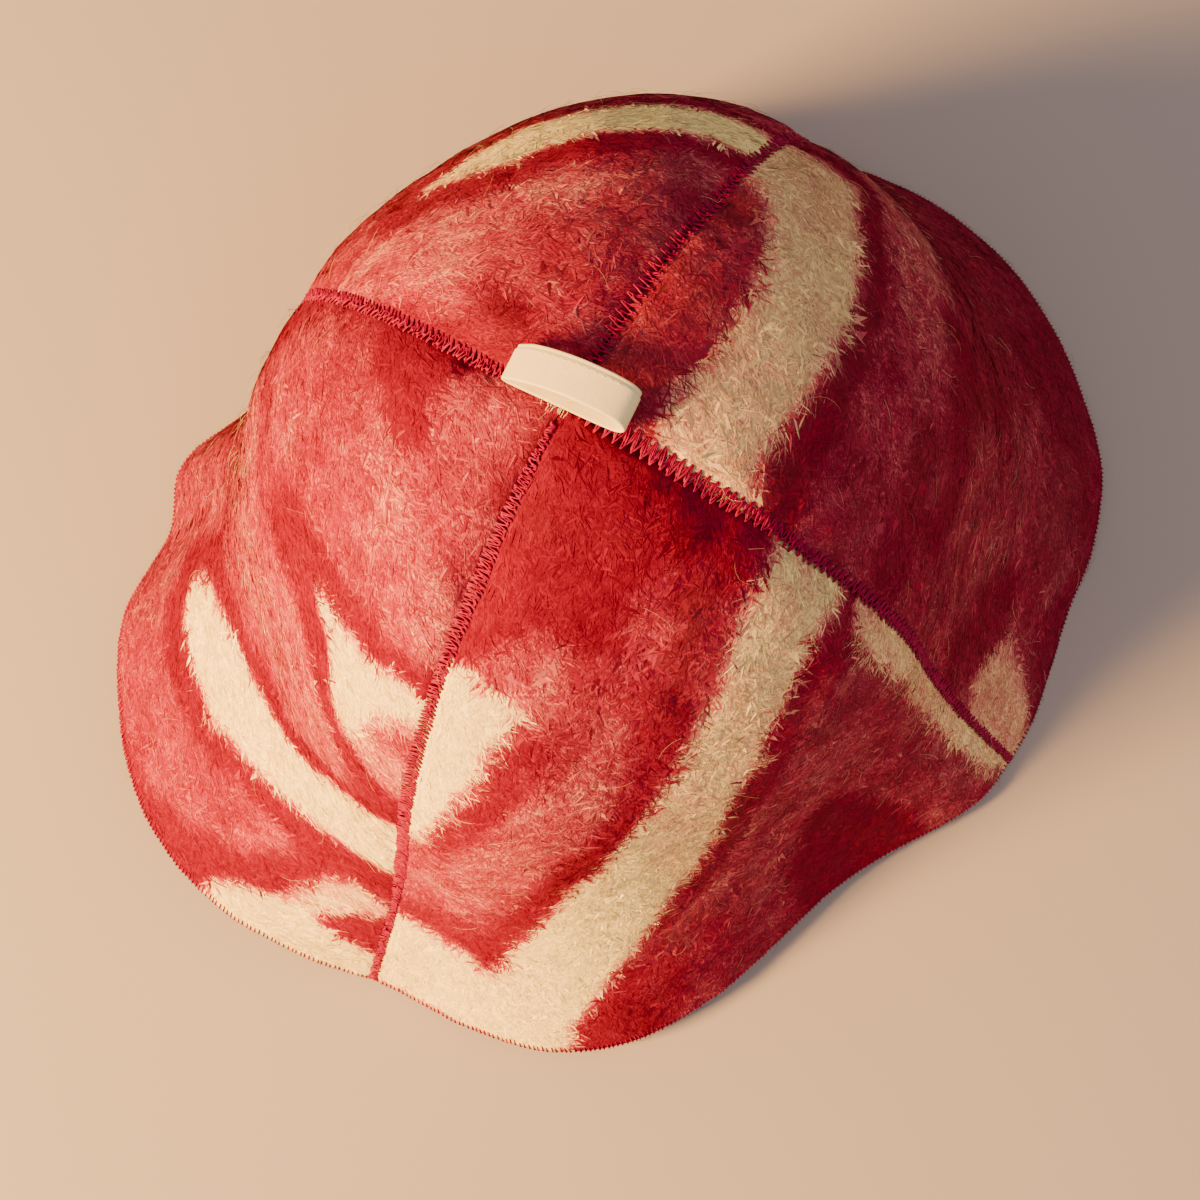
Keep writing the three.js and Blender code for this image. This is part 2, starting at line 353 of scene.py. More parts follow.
R, D = Lie.ROUND, Lie.DOWN
LEFT_BANDS = (
    Band(Dye.MADDER, R, ((132, -0.1, 0.11), (160, -0.1, 0.10), (200, -0.1, 0.11),
         (226, -0.1, 0.13)), 0.6, 8),
    Band(Dye.CLARET, R, ((206, -0.1, 0.085), (212, -0.1, 0.105), (226, -0.1, 0.12)), 0.6, 5),
    Band(Dye.BLUSH, R, ((158, 0.185, 0.20), (175, 0.17, 0.215), (200, 0.16, 0.27),
         (226, 0.20, 0.275)), 0.28, 6),
    Band(Dye.BLUSH, R, ((150, 0.44, 0.62), (175, 0.44, 0.60), (190, 0.42, 0.61), (203, 0.43, 0.58),
         (212, 0.48, 0.54)), 0.35, 6),
    Band(Dye.DUSK, R, ((134, 0.58, 1.02), (155, 0.66, 1.02), (168, 0.60, 1.02),
         (175, 0.9, 1.02)), 0.6, 8),
    Band(Dye.RED, R, ((132, 0.09, 0.25), (140, 0.10, 0.24), (145, 0.11, 0.225), (150, 0.12, 0.21),
         (155, 0.125, 0.19), (160, 0.13, 0.182), (166, 0.133, 0.175), (172, 0.14, 0.162),
         (180, 0.148, 0.152)), 1.0, 2.6),
    Band(Dye.RED, D, ((0.24, 132, 141), (0.30, 132, 137), (0.36, 132, 136), (0.41, 132, 141),
         (0.46, 132, 144), (0.52, 132, 141), (0.58, 132, 138)), 0.6, 3),
    Band(Dye.RED, R, ((148, 0.43, 0.455), (155, 0.405, 0.44), (165, 0.37, 0.43), (172, 0.34, 0.415),
         (176, 0.33, 0.41)), 0.4, 4),
    Band(Dye.RED, R, ((172, 0.345, 0.395), (176, 0.33, 0.405), (180, 0.322, 0.402), (185, 0.312, 0.385),
         (190, 0.306, 0.37), (195, 0.30, 0.348), (200, 0.293, 0.333), (206, 0.288, 0.325),
         (213, 0.288, 0.324), (220, 0.283, 0.316), (226, 0.278, 0.311)), 1.0, 2.2),
    Band(Dye.RED, R, ((183, 0.365, 0.395), (188, 0.36, 0.40), (195, 0.35, 0.412), (200, 0.365, 0.43),
         (205, 0.395, 0.455), (210, 0.428, 0.477), (215, 0.452, 0.505), (220, 0.47, 0.53),
         (226, 0.488, 0.545)), 0.95, 2.4),
    Band(Dye.BLUSH, R, ((207, 0.40, 0.42), (211, 0.36, 0.45), (216, 0.355, 0.465), (221, 0.35, 0.475),
         (226, 0.34, 0.48)), 0.75, 2.5),
    Band(Dye.RED, R, ((217, 0.385, 0.40), (221, 0.375, 0.42), (226, 0.37, 0.43)), 0.4, 2.5),
    Band(Dye.CREAM, R, ((191, 0.342, 0.35), (195, 0.338, 0.36), (200, 0.334, 0.372), (204, 0.327, 0.392),
         (207, 0.324, 0.41), (210, 0.321, 0.428), (213, 0.32, 0.435), (216, 0.318, 0.375),
         (220, 0.315, 0.36), (226, 0.31, 0.35)), 1.0, 2.2),
    Band(Dye.RED, R, ((165, 0.74, 0.86), (169, 0.715, 0.85), (173, 0.70, 0.79), (177, 0.68, 0.745),
         (181, 0.667, 0.722), (185, 0.655, 0.708), (190, 0.643, 0.693), (195, 0.633, 0.682),
         (200, 0.618, 0.668), (205, 0.598, 0.643), (210, 0.568, 0.608), (215, 0.535, 0.568),
         (220, 0.525, 0.556), (226, 0.50, 0.538)), 1.0, 2.2),
    Band(Dye.RED, R, ((166, 0.80, 0.865), (170, 0.80, 0.872), (176, 0.825, 0.88), (182, 0.825, 0.885),
         (188, 0.81, 0.868), (195, 0.79, 0.842), (200, 0.77, 0.815), (205, 0.75, 0.803),
         (210, 0.73, 0.795), (216, 0.712, 0.787), (221, 0.70, 0.785), (226, 0.695, 0.79)), 1.0, 2.2),
    Band(Dye.CREAM, R, ((171.5, 0.785, 0.81), (173.5, 0.76, 0.825), (176, 0.745, 0.832),
         (180, 0.722, 0.834), (185, 0.704, 0.83), (190, 0.69, 0.815), (195, 0.68, 0.795),
         (200, 0.665, 0.775), (205, 0.64, 0.755), (210, 0.605, 0.735), (215, 0.566, 0.716),
         (220, 0.553, 0.706), (226, 0.535, 0.70)), 1.0, 2.0),
    Band(Dye.RED, R, ((186, 0.99, 1.02), (191, 0.975, 1.02), (196, 0.95, 1.02), (200, 0.925, 1.02),
         (204, 0.90, 1.02), (207, 0.865, 0.96), (210, 0.80, 0.915), (213, 0.78, 0.88),
         (216, 0.785, 0.82)), 0.92, 2.6),
    Band(Dye.BLUSH, R, ((211.5, 0.89, 0.93), (214, 0.835, 0.93), (216, 0.80, 0.92), (219, 0.795, 0.88),
         (222, 0.80, 0.85), (225, 0.80, 0.83)), 0.95, 2.4),
    Band(Dye.CREAM, R, ((213.5, 0.87, 0.93), (216, 0.83, 0.90), (219, 0.80, 0.86),
         (222, 0.80, 0.825)), 0.7, 2.5),
    Band(Dye.RED, R, ((216.5, 0.885, 0.905), (219, 0.865, 0.92), (223, 0.84, 0.925),
         (226, 0.83, 0.925)), 0.9, 2.2),
    Band(Dye.CREAM, R, ((205, 0.955, 1.02), (207, 0.932, 1.02), (210, 0.912, 1.02), (214, 0.902, 1.02),
         (218, 0.91, 1.02), (222, 0.925, 1.02), (226, 0.93, 1.02)), 1.0, 2.4),
)
FRONT_BANDS = (
    Band(Dye.ROSE, D, ((0.36, 243, 252), (0.40, 240, 254), (0.45, 237, 254), (0.50, 230, 252),
         (0.56, 224, 247), (0.63, 224, 244), (0.70, 224, 241), (0.76, 224, 238)), 0.9, 6),
    Band(Dye.BLUSH, D, ((0.40, 243, 250), (0.47, 240, 250), (0.54, 232, 246), (0.62, 229, 241),
         (0.70, 227, 238)), 0.35, 5),
    Band(Dye.RED, R, ((224, -0.1, 0.262), (230, -0.1, 0.255), (236, -0.1, 0.235), (242, -0.1, 0.215),
         (250, -0.1, 0.215), (258, -0.1, 0.23), (266, -0.1, 0.235), (275, -0.1, 0.21), (285, -0.1, 0.205),
         (293, -0.1, 0.235), (303, -0.1, 0.25), (309, -0.1, 0.245), (316, -0.1, 0.24)), 0.96, 4),
    # Painted shadow: a thin dark wine arc across the front crown where a pucker's wrinkle casts shade.
    Band(Dye.WINE, R, ((231, 0.085, 0.11), (240, 0.09, 0.12), (252, 0.10, 0.125), (265, 0.11, 0.135),
         (285, 0.12, 0.135)), 0.35, 3),
    Band(Dye.ROSE, R, ((268, 0.205, 0.24), (276, 0.185, 0.245), (284, 0.18, 0.25), (292, 0.19, 0.235),
         (297, 0.205, 0.215)), 0.65, 4),
    Band(Dye.WINE, R, ((280, 0.215, 0.255), (285, 0.20, 0.265), (289, 0.205, 0.245)), 0.45, 3),
    Band(Dye.WINE, R, ((291, 0.205, 0.235), (294, 0.195, 0.245), (298, 0.205, 0.23)), 0.4, 3),
    Band(Dye.WINE, R, ((266, 0.32, 0.345), (271, 0.275, 0.345), (276, 0.26, 0.31),
         (282, 0.25, 0.285)), 0.4, 3),
    Band(Dye.BLUSH, D, ((0.205, 241, 250), (0.225, 236, 253), (0.25, 231, 251), (0.27, 233, 249),
         (0.29, 238, 246)), 0.45, 3.5),
    Band(Dye.RED, D, ((0.29, 246, 253), (0.33, 242.5, 252), (0.37, 238, 246), (0.41, 235.5, 242),
         (0.45, 233, 239), (0.49, 230.5, 236.5), (0.53, 229, 233)), 0.75, 3),
    Band(Dye.ROSE, D, ((0.29, 246, 266), (0.33, 246, 266), (0.38, 244, 262), (0.43, 244, 260),
         (0.47, 243, 257)), 0.75, 5),
    Band(Dye.BLUSH, D, ((0.31, 256, 264), (0.34, 254, 263), (0.38, 246, 260), (0.42, 245, 258)), 0.35, 5),
    Band(Dye.RED, D, ((0.33, 265, 274), (0.36, 262, 272), (0.40, 259, 269), (0.44, 256, 264),
         (0.47, 253, 260)), 0.6, 4),
    Band(Dye.CREAM, D, ((0.262, 223, 231), (0.272, 223, 240), (0.285, 223, 242.5), (0.31, 223, 240.5),
         (0.33, 223, 238.5), (0.36, 223, 236.5), (0.40, 223, 234), (0.43, 223, 232), (0.46, 223, 230.5),
         (0.50, 223, 229), (0.54, 223, 227.5), (0.575, 223, 225.5)), 1.0, 3),
    Band(Dye.RED, D, ((0.45, 257, 262), (0.48, 253, 259), (0.51, 249.5, 256), (0.55, 246, 252),
         (0.60, 244.5, 249), (0.65, 242, 247.5), (0.70, 240, 245), (0.75, 237.5, 242.5),
         (0.80, 234.5, 240.5), (0.845, 236, 238.5)), 1.0, 2.6),
    Band(Dye.RED, R, ((223, 0.75, 0.80), (228, 0.745, 0.805), (232, 0.75, 0.812),
         (236, 0.75, 0.83)), 0.6, 4),
    Band(Dye.DUSK, R, ((252, 0.90, 1.02), (260, 0.78, 1.02), (267, 0.66, 1.02), (273, 0.56, 1.02),
         (280, 0.475, 1.02), (290, 0.41, 1.02), (304, 0.36, 1.02), (316, 0.35, 1.02)), 1.0, 2.6),
    Band(Dye.CLARET, R, ((281, 0.86, 1.02), (285, 0.75, 1.02), (289, 0.70, 1.02), (293, 0.72, 1.02),
         (297, 0.80, 1.02), (301, 0.90, 1.02)), 0.95, 7),
    Band(Dye.CLARET, R, ((298, 0.36, 0.41), (303, 0.35, 0.425), (308, 0.35, 0.42),
         (316, 0.35, 0.40)), 0.75, 4),
    Band(Dye.CLARET, R, ((260, 0.77, 0.83), (264, 0.71, 0.78), (267, 0.655, 0.745), (271, 0.595, 0.69),
         (275, 0.525, 0.64), (279, 0.47, 0.58), (283, 0.44, 0.53), (288, 0.41, 0.475), (294, 0.38, 0.44),
         (300, 0.35, 0.40)), 0.7, 4),
    Band(Dye.WINE, R, ((272, 0.60, 0.66), (275, 0.54, 0.615), (278, 0.495, 0.55),
         (283, 0.455, 0.49)), 0.4, 3),
    Band(Dye.RED, R, ((249.5, 0.93, 1.02), (252, 0.88, 1.02), (255, 0.84, 1.02), (258, 0.83, 1.02),
         (261, 0.85, 0.99), (264, 0.90, 0.96)), 0.9, 2.6),
    Band(Dye.MADDER, R, ((258, 0.78, 0.93), (263, 0.78, 1.02), (270, 0.82, 1.02),
         (276, 0.9, 1.02)), 0.6, 5),
    Band(Dye.CREAM, R, ((223, 0.795, 1.02), (230, 0.80, 1.02), (235, 0.816, 1.02), (238, 0.845, 1.02),
         (240, 0.825, 1.02), (242, 0.77, 1.02), (245, 0.715, 1.02), (248, 0.65, 1.02),
         (250, 0.602, 0.935), (253, 0.565, 0.87), (256, 0.528, 0.825), (260, 0.48, 0.775),
         (264, 0.44, 0.71), (268, 0.412, 0.65), (272, 0.383, 0.58), (276, 0.36, 0.51), (280, 0.34, 0.467),
         (285, 0.315, 0.432), (290, 0.29, 0.402), (295, 0.27, 0.377), (300, 0.256, 0.357),
         (306, 0.25, 0.345), (316, 0.245, 0.345)), 1.0, 4.2),
    # Painted shade: the upper half of the front's diagonal cream band, in darkened cream where it lies in
    # shade.
    Band(Dye.SHADED_CREAM, R, ((262, 0.47, 0.72), (268, 0.415, 0.64), (275, 0.367, 0.53), (285, 0.317, 0.43),
         (295, 0.272, 0.375), (306, 0.252, 0.343), (316, 0.247, 0.343)), 0.8, 7),
    Band(Dye.BLUSH, R, ((224, 0.98, 1.02), (236, 0.985, 1.02), (240, 0.995, 1.02)), 0.9, 2.5),
    Band(Dye.CREAM, D, ((0.37, 311.5, 317), (0.385, 308, 317), (0.43, 307.8, 317), (0.50, 308.6, 317),
         (0.60, 309.6, 317), (0.70, 310.5, 317), (0.80, 311.2, 317), (0.90, 312.2, 317),
         (1.02, 313.3, 317)), 0.85, 2.0),
)
RIGHT_BANDS = (
    Band(Dye.CLARET, R, ((314, -0.1, 0.075), (330, -0.1, 0.08), (345, -0.1, 0.085)), 0.4, 4),
    Band(Dye.WINE, R, ((338, -0.1, 0.085), (348, -0.1, 0.092), (360, -0.1, 0.10), (368, -0.1, 0.15),
         (378, -0.1, 0.195), (390, -0.1, 0.21), (398, -0.1, 0.19), (406, -0.1, 0.20)), 0.5, 4),
    # Painted highlight: a brighter red patch where light falls on a bump near the seam to the back gore.
    Band(Dye.RED, R, ((382, 0.11, 0.13), (388, 0.095, 0.145), (396, 0.10, 0.15),
         (406, 0.105, 0.15)), 0.35, 3),
    Band(Dye.DUSK, R, ((370, 0.12, 0.15), (380, 0.09, 0.19), (394, 0.08, 0.20),
         (406, 0.07, 0.20)), 0.6, 6),
    Band(Dye.ROSE, R, ((386, 0.20, 0.25), (393, 0.195, 0.25), (400, 0.20, 0.24),
         (406, 0.19, 0.22)), 0.5, 4),
    Band(Dye.WINE, R, ((396, 0.255, 0.30), (401, 0.235, 0.315), (406, 0.22, 0.33)), 0.6, 4),
    Band(Dye.MADDER, R, ((314, 0.22, 0.30), (340, 0.24, 0.33), (355, 0.27, 0.35),
         (368, 0.31, 0.37)), 0.6, 5),
    Band(Dye.BLUSH, R, ((358, 0.38, 0.42), (366, 0.37, 0.45), (376, 0.39, 0.45),
         (386, 0.44, 0.47)), 0.35, 5),
    Band(Dye.CLARET, R, ((314, 0.38, 0.42), (325, 0.35, 0.425), (338, 0.355, 0.42),
         (350, 0.37, 0.41)), 0.55, 5),
    Band(Dye.CLARET, R, ((328, 0.44, 0.48), (336, 0.43, 0.50), (348, 0.425, 0.505), (360, 0.44, 0.51),
         (372, 0.455, 0.50)), 0.65, 5),
    Band(Dye.CLARET, R, ((352, 0.50, 0.60), (358, 0.47, 0.72), (366, 0.47, 0.96), (374, 0.50, 1.02),
         (382, 0.56, 1.02), (394, 0.62, 1.02), (406, 0.62, 1.02)), 0.45, 7),
    Band(Dye.BLUSH, R, ((371, 0.46, 0.50), (379, 0.46, 0.56), (388, 0.48, 0.60), (397, 0.52, 0.64),
         (406, 0.56, 0.66)), 0.5, 4),
    Band(Dye.CLARET, R, ((315, 0.66, 0.74), (322, 0.65, 0.79), (330, 0.70, 0.84),
         (338, 0.76, 0.84)), 0.6, 6),
    Band(Dye.WINE, R, ((341, 0.84, 0.92), (348, 0.81, 0.94), (355, 0.82, 0.93)), 0.3, 6),
    Band(Dye.CLARET, R, ((322, 0.985, 1.02), (330, 0.93, 1.02), (342, 0.95, 1.02), (352, 0.92, 1.02),
         (360, 0.84, 1.02), (372, 0.80, 1.02)), 0.6, 5),
    Band(Dye.CLARET, R, ((314, 0.185, 0.255), (325, 0.18, 0.25), (335, 0.18, 0.25), (345, 0.205, 0.268),
         (355, 0.24, 0.288), (362, 0.265, 0.312), (370, 0.305, 0.352), (378, 0.345, 0.39),
         (384, 0.385, 0.425), (390, 0.435, 0.475), (396, 0.44, 0.49), (406, 0.43, 0.48)), 0.95, 2.6),
    Band(Dye.WINE, R, ((314, 0.19, 0.22), (328, 0.185, 0.215), (342, 0.20, 0.23), (356, 0.25, 0.275),
         (370, 0.315, 0.335), (380, 0.365, 0.385)), 0.4, 3),
    # Painted shade: the right gore's cream band, in darkened cream because this side lies in shade.
    Band(Dye.SHADED_CREAM, R, ((314, 0.085, 0.205), (320, 0.084, 0.198), (326, 0.08, 0.19), (332, 0.077, 0.188),
         (338, 0.078, 0.197), (345, 0.084, 0.214), (352, 0.092, 0.235), (358, 0.098, 0.258),
         (363, 0.112, 0.274), (368, 0.132, 0.296), (373, 0.158, 0.32), (378, 0.184, 0.342),
         (383, 0.21, 0.372), (388, 0.24, 0.408), (391, 0.26, 0.444), (396, 0.294, 0.448),
         (401, 0.32, 0.442), (406, 0.33, 0.44)), 1.0, 5.5),
    Band(Dye.CREAM, R, ((314, 0.825, 1.02), (318, 0.81, 1.02), (320, 0.802, 1.0), (322, 0.797, 0.972),
         (325, 0.81, 0.93), (328, 0.835, 0.888), (330.5, 0.857, 0.865)), 0.68, 3.0),
)
BACK_BANDS = (
    Band(Dye.DUSK, R, ((90, 0.07, 0.12), (98, 0.07, 0.15), (108, 0.07, 0.15),
         (116, 0.07, 0.11)), 0.75, 5),
    Band(Dye.CLARET, R, ((98, 0.08, 0.14), (108, 0.06, 0.15), (122, 0.06, 0.15), (130, 0.07, 0.17),
         (136, 0.08, 0.24)), 0.75, 5),
    Band(Dye.RED, D, ((0.12, 130, 136), (0.18, 129, 136), (0.24, 131, 136), (0.30, 132, 136)), 0.7, 3),
    Band(Dye.WINE, R, ((43, -0.1, 0.10), (54, -0.1, 0.10), (66, -0.1, 0.075)), 0.5, 4),
    Band(Dye.RED, R, ((43, 0.10, 0.15), (56, 0.095, 0.155), (68, 0.09, 0.15), (78, 0.09, 0.13)), 0.6, 4),
    Band(Dye.DUSK, R, ((43, 0.06, 0.33), (60, 0.08, 0.33), (85, 0.12, 0.31),
         (108, 0.18, 0.28)), 0.65, 12),
    Band(Dye.WINE, R, ((43, 0.17, 0.32), (50, 0.185, 0.30), (58, 0.185, 0.25),
         (68, 0.195, 0.23)), 0.3, 5),
    Band(Dye.DUSK, R, ((43, 0.26, 0.36), (55, 0.27, 0.34), (66, 0.285, 0.32)), 0.8, 5),
    Band(Dye.BLUSH, R, ((66, 0.23, 0.25), (74, 0.225, 0.28), (88, 0.22, 0.285), (104, 0.19, 0.28),
         (122, 0.20, 0.33), (136, 0.28, 0.38)), 0.5, 6),
    Band(Dye.RED, R, ((43, 0.335, 0.37), (56, 0.325, 0.36), (62, 0.31, 0.355), (70, 0.287, 0.347),
         (80, 0.285, 0.342), (90, 0.285, 0.33), (98, 0.293, 0.345), (105, 0.308, 0.367),
         (111, 0.322, 0.38), (116, 0.345, 0.40), (121, 0.37, 0.405)), 0.75, 2.6),
    Band(Dye.RED, R, ((43, 0.425, 0.465), (56, 0.43, 0.465), (70, 0.425, 0.462), (85, 0.415, 0.458),
         (98, 0.40, 0.445), (108, 0.388, 0.425), (117, 0.385, 0.41)), 0.75, 2.6),
    Band(Dye.CREAM, R, ((43, 0.372, 0.43), (50, 0.36, 0.433), (56, 0.352, 0.434), (63, 0.346, 0.432),
         (70, 0.341, 0.43), (77, 0.337, 0.421), (84, 0.327, 0.416), (90, 0.325, 0.418), (96, 0.336, 0.41),
         (101, 0.346, 0.402), (106, 0.366, 0.398), (109, 0.38, 0.388)), 1.0, 2.8),
    Band(Dye.RED, R, ((45, 0.69, 0.85), (56, 0.64, 0.86), (64, 0.62, 0.87), (74, 0.62, 0.87),
         (86, 0.64, 0.89), (98, 0.68, 0.92), (110, 0.73, 0.94), (120, 0.79, 0.94), (130, 0.86, 0.92))),
    Band(Dye.CREAM, R, ((49, 0.745, 0.76), (56, 0.70, 0.79), (64, 0.68, 0.80), (74, 0.68, 0.81),
         (86, 0.70, 0.83), (98, 0.74, 0.86), (110, 0.79, 0.885), (120, 0.84, 0.895), (127, 0.87, 0.885))),
)


@dataclass(frozen=True)
class Dent:
    """A place where a seam's stitches draw the cloth in."""

    heading: float
    along: float
    depth: float
    long: float
    wide: float


DENTS = (
    Dent(224, 0.185, 1.8, 9, 5),
    Dent(226, 0.235, 0.5, 6, 4),
    Dent(46, 0.27, 1.6, 10, 7),
    Dent(44, 0.085, 1.5, 8, 5),
    Dent(134, 0.11, 0.9, 9, 4),
    Dent(316, 0.30, 0.8, 8, 4),
    Dent(314, 0.16, 0.7, 7, 4),
    Dent(317, 0.62, 0.8, 9, 4),
)


# ------------------------------------------------------------------------------------- the gores
EDGE_CROWDING = 0.6
HEM_CROWDING = 0.6
CHARTS_APART = 37.0


@dataclass
class Weave:
    """A gore's outside face as a grid of samples that fibres and stitches can be laid on."""

    heading: Array
    along: Array
    points: Array
    normals: Array
    dye: Array
    chart: Array

    def at(self, table: Array, u: Array, v: Array) -> Array:
        """Reads one of the grids between its nodes, u across and v down, both from 0 to 1.

        Args:
            table: Numbers or vectors over the gore.
            u: Places across.
            v: Places down.

        Returns:
            One number or vector a place.
        """
        columns, rows = table.shape[0] - 1, table.shape[1] - 1
        x = np.clip(u, 0, 1) * columns
        y = np.clip(v, 0, 1) * rows
        i = np.minimum(x.astype(int), columns - 1)
        j = np.minimum(y.astype(int), rows - 1)
        a, b = (x - i), (y - j)
        if table.ndim == 3:
            a, b = a[:, None], b[:, None]
        near = table[i, j] * (1 - a) + table[i + 1, j] * a
        far = table[i, j + 1] * (1 - a) + table[i + 1, j + 1] * a
        return near * (1 - b) + far * b


@dataclass
class Gore:
    """One petal of napped blanket cloth between two seams."""

    node: str
    start: float
    end: float
    nap_angle: float
    ground: Dye
    bands: tuple[Band, ...]
    seed: int
    columns: int = 88
    rows: int = 122
    tip: float = 0.0035
    seam_gap: float = 0.12
    seam_round: float = 3.0
    seam_drop: float = 1.3
    hem_round: float = 2.0
    hem_drop: float = 0.9
    lump_height: float = 0.38
    lump_size: float = 11.0
    small_lumps: float = 0.4
    small_lump_size: float = 4.5
    pucker_depth: float = 0.55
    pucker_pitch: float = 8.5
    pucker_stray: float = 3.0
    pucker_reach: float = 5.5
    edge_thinning: float = 0.8
    most_thinning: float = 1.1
    blotch: float = 0.26
    blotch_plain: float = 0.08
    blotch_mixed: float = 3.4
    dark: float = 0.5
    dark_plain: float = 0.12
    dark_mixed: float = 3.0
    weave: Weave = field(init=False, default=None)

    def _spread(self, u: Array, v: Array) -> tuple[Array, Array]:
        """Headings and fractions along the gore for grid places, closer together at its edges.

        Args:
            u: Places across, from 0 to 1.
            v: Places down, from 0 to 1.

        Returns:
            Headings in degrees, and fractions along the gore.
        """
        u = u - EDGE_CROWDING * np.sin(2 * math.pi * u) / (2 * math.pi)
        v = 1 - (1 - v) * (1 - HEM_CROWDING * v**6)
        along = self.tip + (1 - self.tip) * v
        reach = np.maximum(HAT.gore_length * along * 0.6, 1.0)
        inset = np.degrees(np.arcsin(np.minimum(self.seam_gap / 2 / reach, 0.2)))
        return self.start + inset + u * (self.end - self.start - 2 * inset), along

    def _edge_distance(self, heading: Array, along: Array) -> Array:
        """Distance to the nearer seam, over the cloth.

        Args:
            heading: Headings of the grid.
            along: Fractions along the gore.

        Returns:
            Distances in millimetres.
        """
        plain = HAT.cloth(heading, along) - HAT.shift
        radius = np.hypot(plain[..., 0], plain[..., 1])
        apart = np.minimum(heading - self.start, self.end - heading)
        return np.radians(apart) * radius

    def _relief(self, heading: Array, along: Array, places: Array) -> Array:
        """How far the napped face stands off the plain cloth.

        Args:
            heading: Headings of the grid.
            along: Fractions along the gore.
            places: Points of the plain cloth.

        Returns:
            Heights in millimetres.
        """
        noise = SoftNoise(self.seed)
        small = self.small_lumps * self.lump_height
        lumps = self.lump_height * noise(places, self.lump_size)
        lumps = lumps + small * noise(places + 70, self.small_lump_size)
        edge = self._edge_distance(heading, along)
        down = along * HAT.gore_length
        beat = noise(np.stack([down, np.full_like(down, 5.0), np.zeros_like(down)], -1), 9.0)
        wave = 0.5 + 0.5 * np.cos(2 * math.pi * down / self.pucker_pitch + self.pucker_stray * beat)
        near = np.exp(-((edge / self.pucker_reach) ** 2))
        pucker = self.pucker_depth * wave * near * smooth(along, 0.03, 0.1)
        relief = lumps * smooth(edge, 0.0, 4.0) - pucker
        curve = np.clip(1 - edge / self.seam_round, 0, 1)
        relief -= self.seam_drop * (1 - np.sqrt(1 - curve**2)) * smooth(along, 0.0, 0.06)
        rim = np.clip(1 - (1 - along) * HAT.gore_length / self.hem_round, 0, 1)
        relief -= self.hem_drop * (1 - np.sqrt(1 - rim**2))
        for dent in DENTS:
            apart = np.mod(heading - dent.heading + 180, 360) - 180
            reach = np.maximum(along * HAT.gore_length * 0.8, 1.0)
            off = (np.radians(apart) * reach / dent.wide) ** 2
            off += ((along - dent.along) * HAT.gore_length / dent.long) ** 2
            relief -= dent.depth * np.exp(-off)
        return relief

    def _chart(self, heading: Array, along: Array) -> Array:
        """Places on the flat cloth, turned so that the second number runs along the nap.

        Args:
            heading: Headings of the grid.
            along: Fractions along the gore.

        Returns:
            Two lengths a place.
        """
        plain = HAT.cloth(heading, along) - HAT.shift
        radius = np.hypot(plain[..., 0], plain[..., 1])
        down = along * HAT.length(heading)
        turn = np.radians(heading - (self.start + self.end) / 2) * np.minimum(radius / down, 1.0)
        flat = np.stack([down * np.sin(turn), down * np.cos(turn)], -1)
        angle = math.radians(self.nap_angle)
        across = flat[..., 0] * math.cos(angle) - flat[..., 1] * math.sin(angle)
        nap = flat[..., 0] * math.sin(angle) + flat[..., 1] * math.cos(angle)
        return np.stack([across, nap], -1)

    def _paint(self, heading: Array, along: Array, places: Array, chart: Array) -> Array:
        """Shares of cream and of wine wool over the gore.

        Args:
            heading: Headings of the grid.
            along: Fractions along the gore.
            places: The grid's points; not used.
            chart: Their places on the flat cloth, along the nap.

        Returns:
            Two numbers from 0 to 1 a place.
        """
        noise = SoftNoise(self.seed + 100)
        flat = np.concatenate([chart * [1.0, NAP_STRETCH], np.full_like(chart[..., :1], self.seed)], -1)
        wander = EDGE_WANDER.over(noise, flat)
        cream = np.full(heading.shape, self.ground.value[0])
        wine = np.full(heading.shape, self.ground.value[1])
        plain = HAT.cloth(heading, along) - HAT.shift
        radius = np.radians(1.0) * np.maximum(np.hypot(plain[..., 0], plain[..., 1]), 1.0)
        for band in self.bands:
            rows = np.array(band.rows)
            if band.lie is Lie.ROUND:
                place, other, scale, off = heading, along, HAT.gore_length, radius
            else:
                place, other, scale, off = along, heading, radius, HAT.gore_length
            low = np.interp(place, rows[:, 0], rows[:, 1])
            high = np.interp(place, rows[:, 0], rows[:, 2])
            beyond = np.maximum(rows[0, 0] - place, place - rows[-1, 0]) * off
            inside = np.minimum(other - low, high - other) * scale
            inside = np.minimum(inside, np.where(beyond > 0, -beyond, inside))
            mask = band.strength * smooth(inside + wander, -band.soft * 0.75, band.soft * 0.75)
            cream += (band.dye.value[0] - cream) * mask
            wine += (band.dye.value[1] - wine) * mask
        blotch = self.blotch * CREAM_BLOTCH.over(noise, flat)
        cream += blotch * (self.blotch_plain + self.blotch_mixed * cream * (1 - cream))
        dark = self.dark * WINE_BLOTCH.over(noise, flat)
        wine += dark * (self.dark_plain + self.dark_mixed * wine * (1 - wine)) * smooth(1 - cream, 0.1, 0.5)
        return np.clip(np.stack([cream, wine], -1), 0, 1)

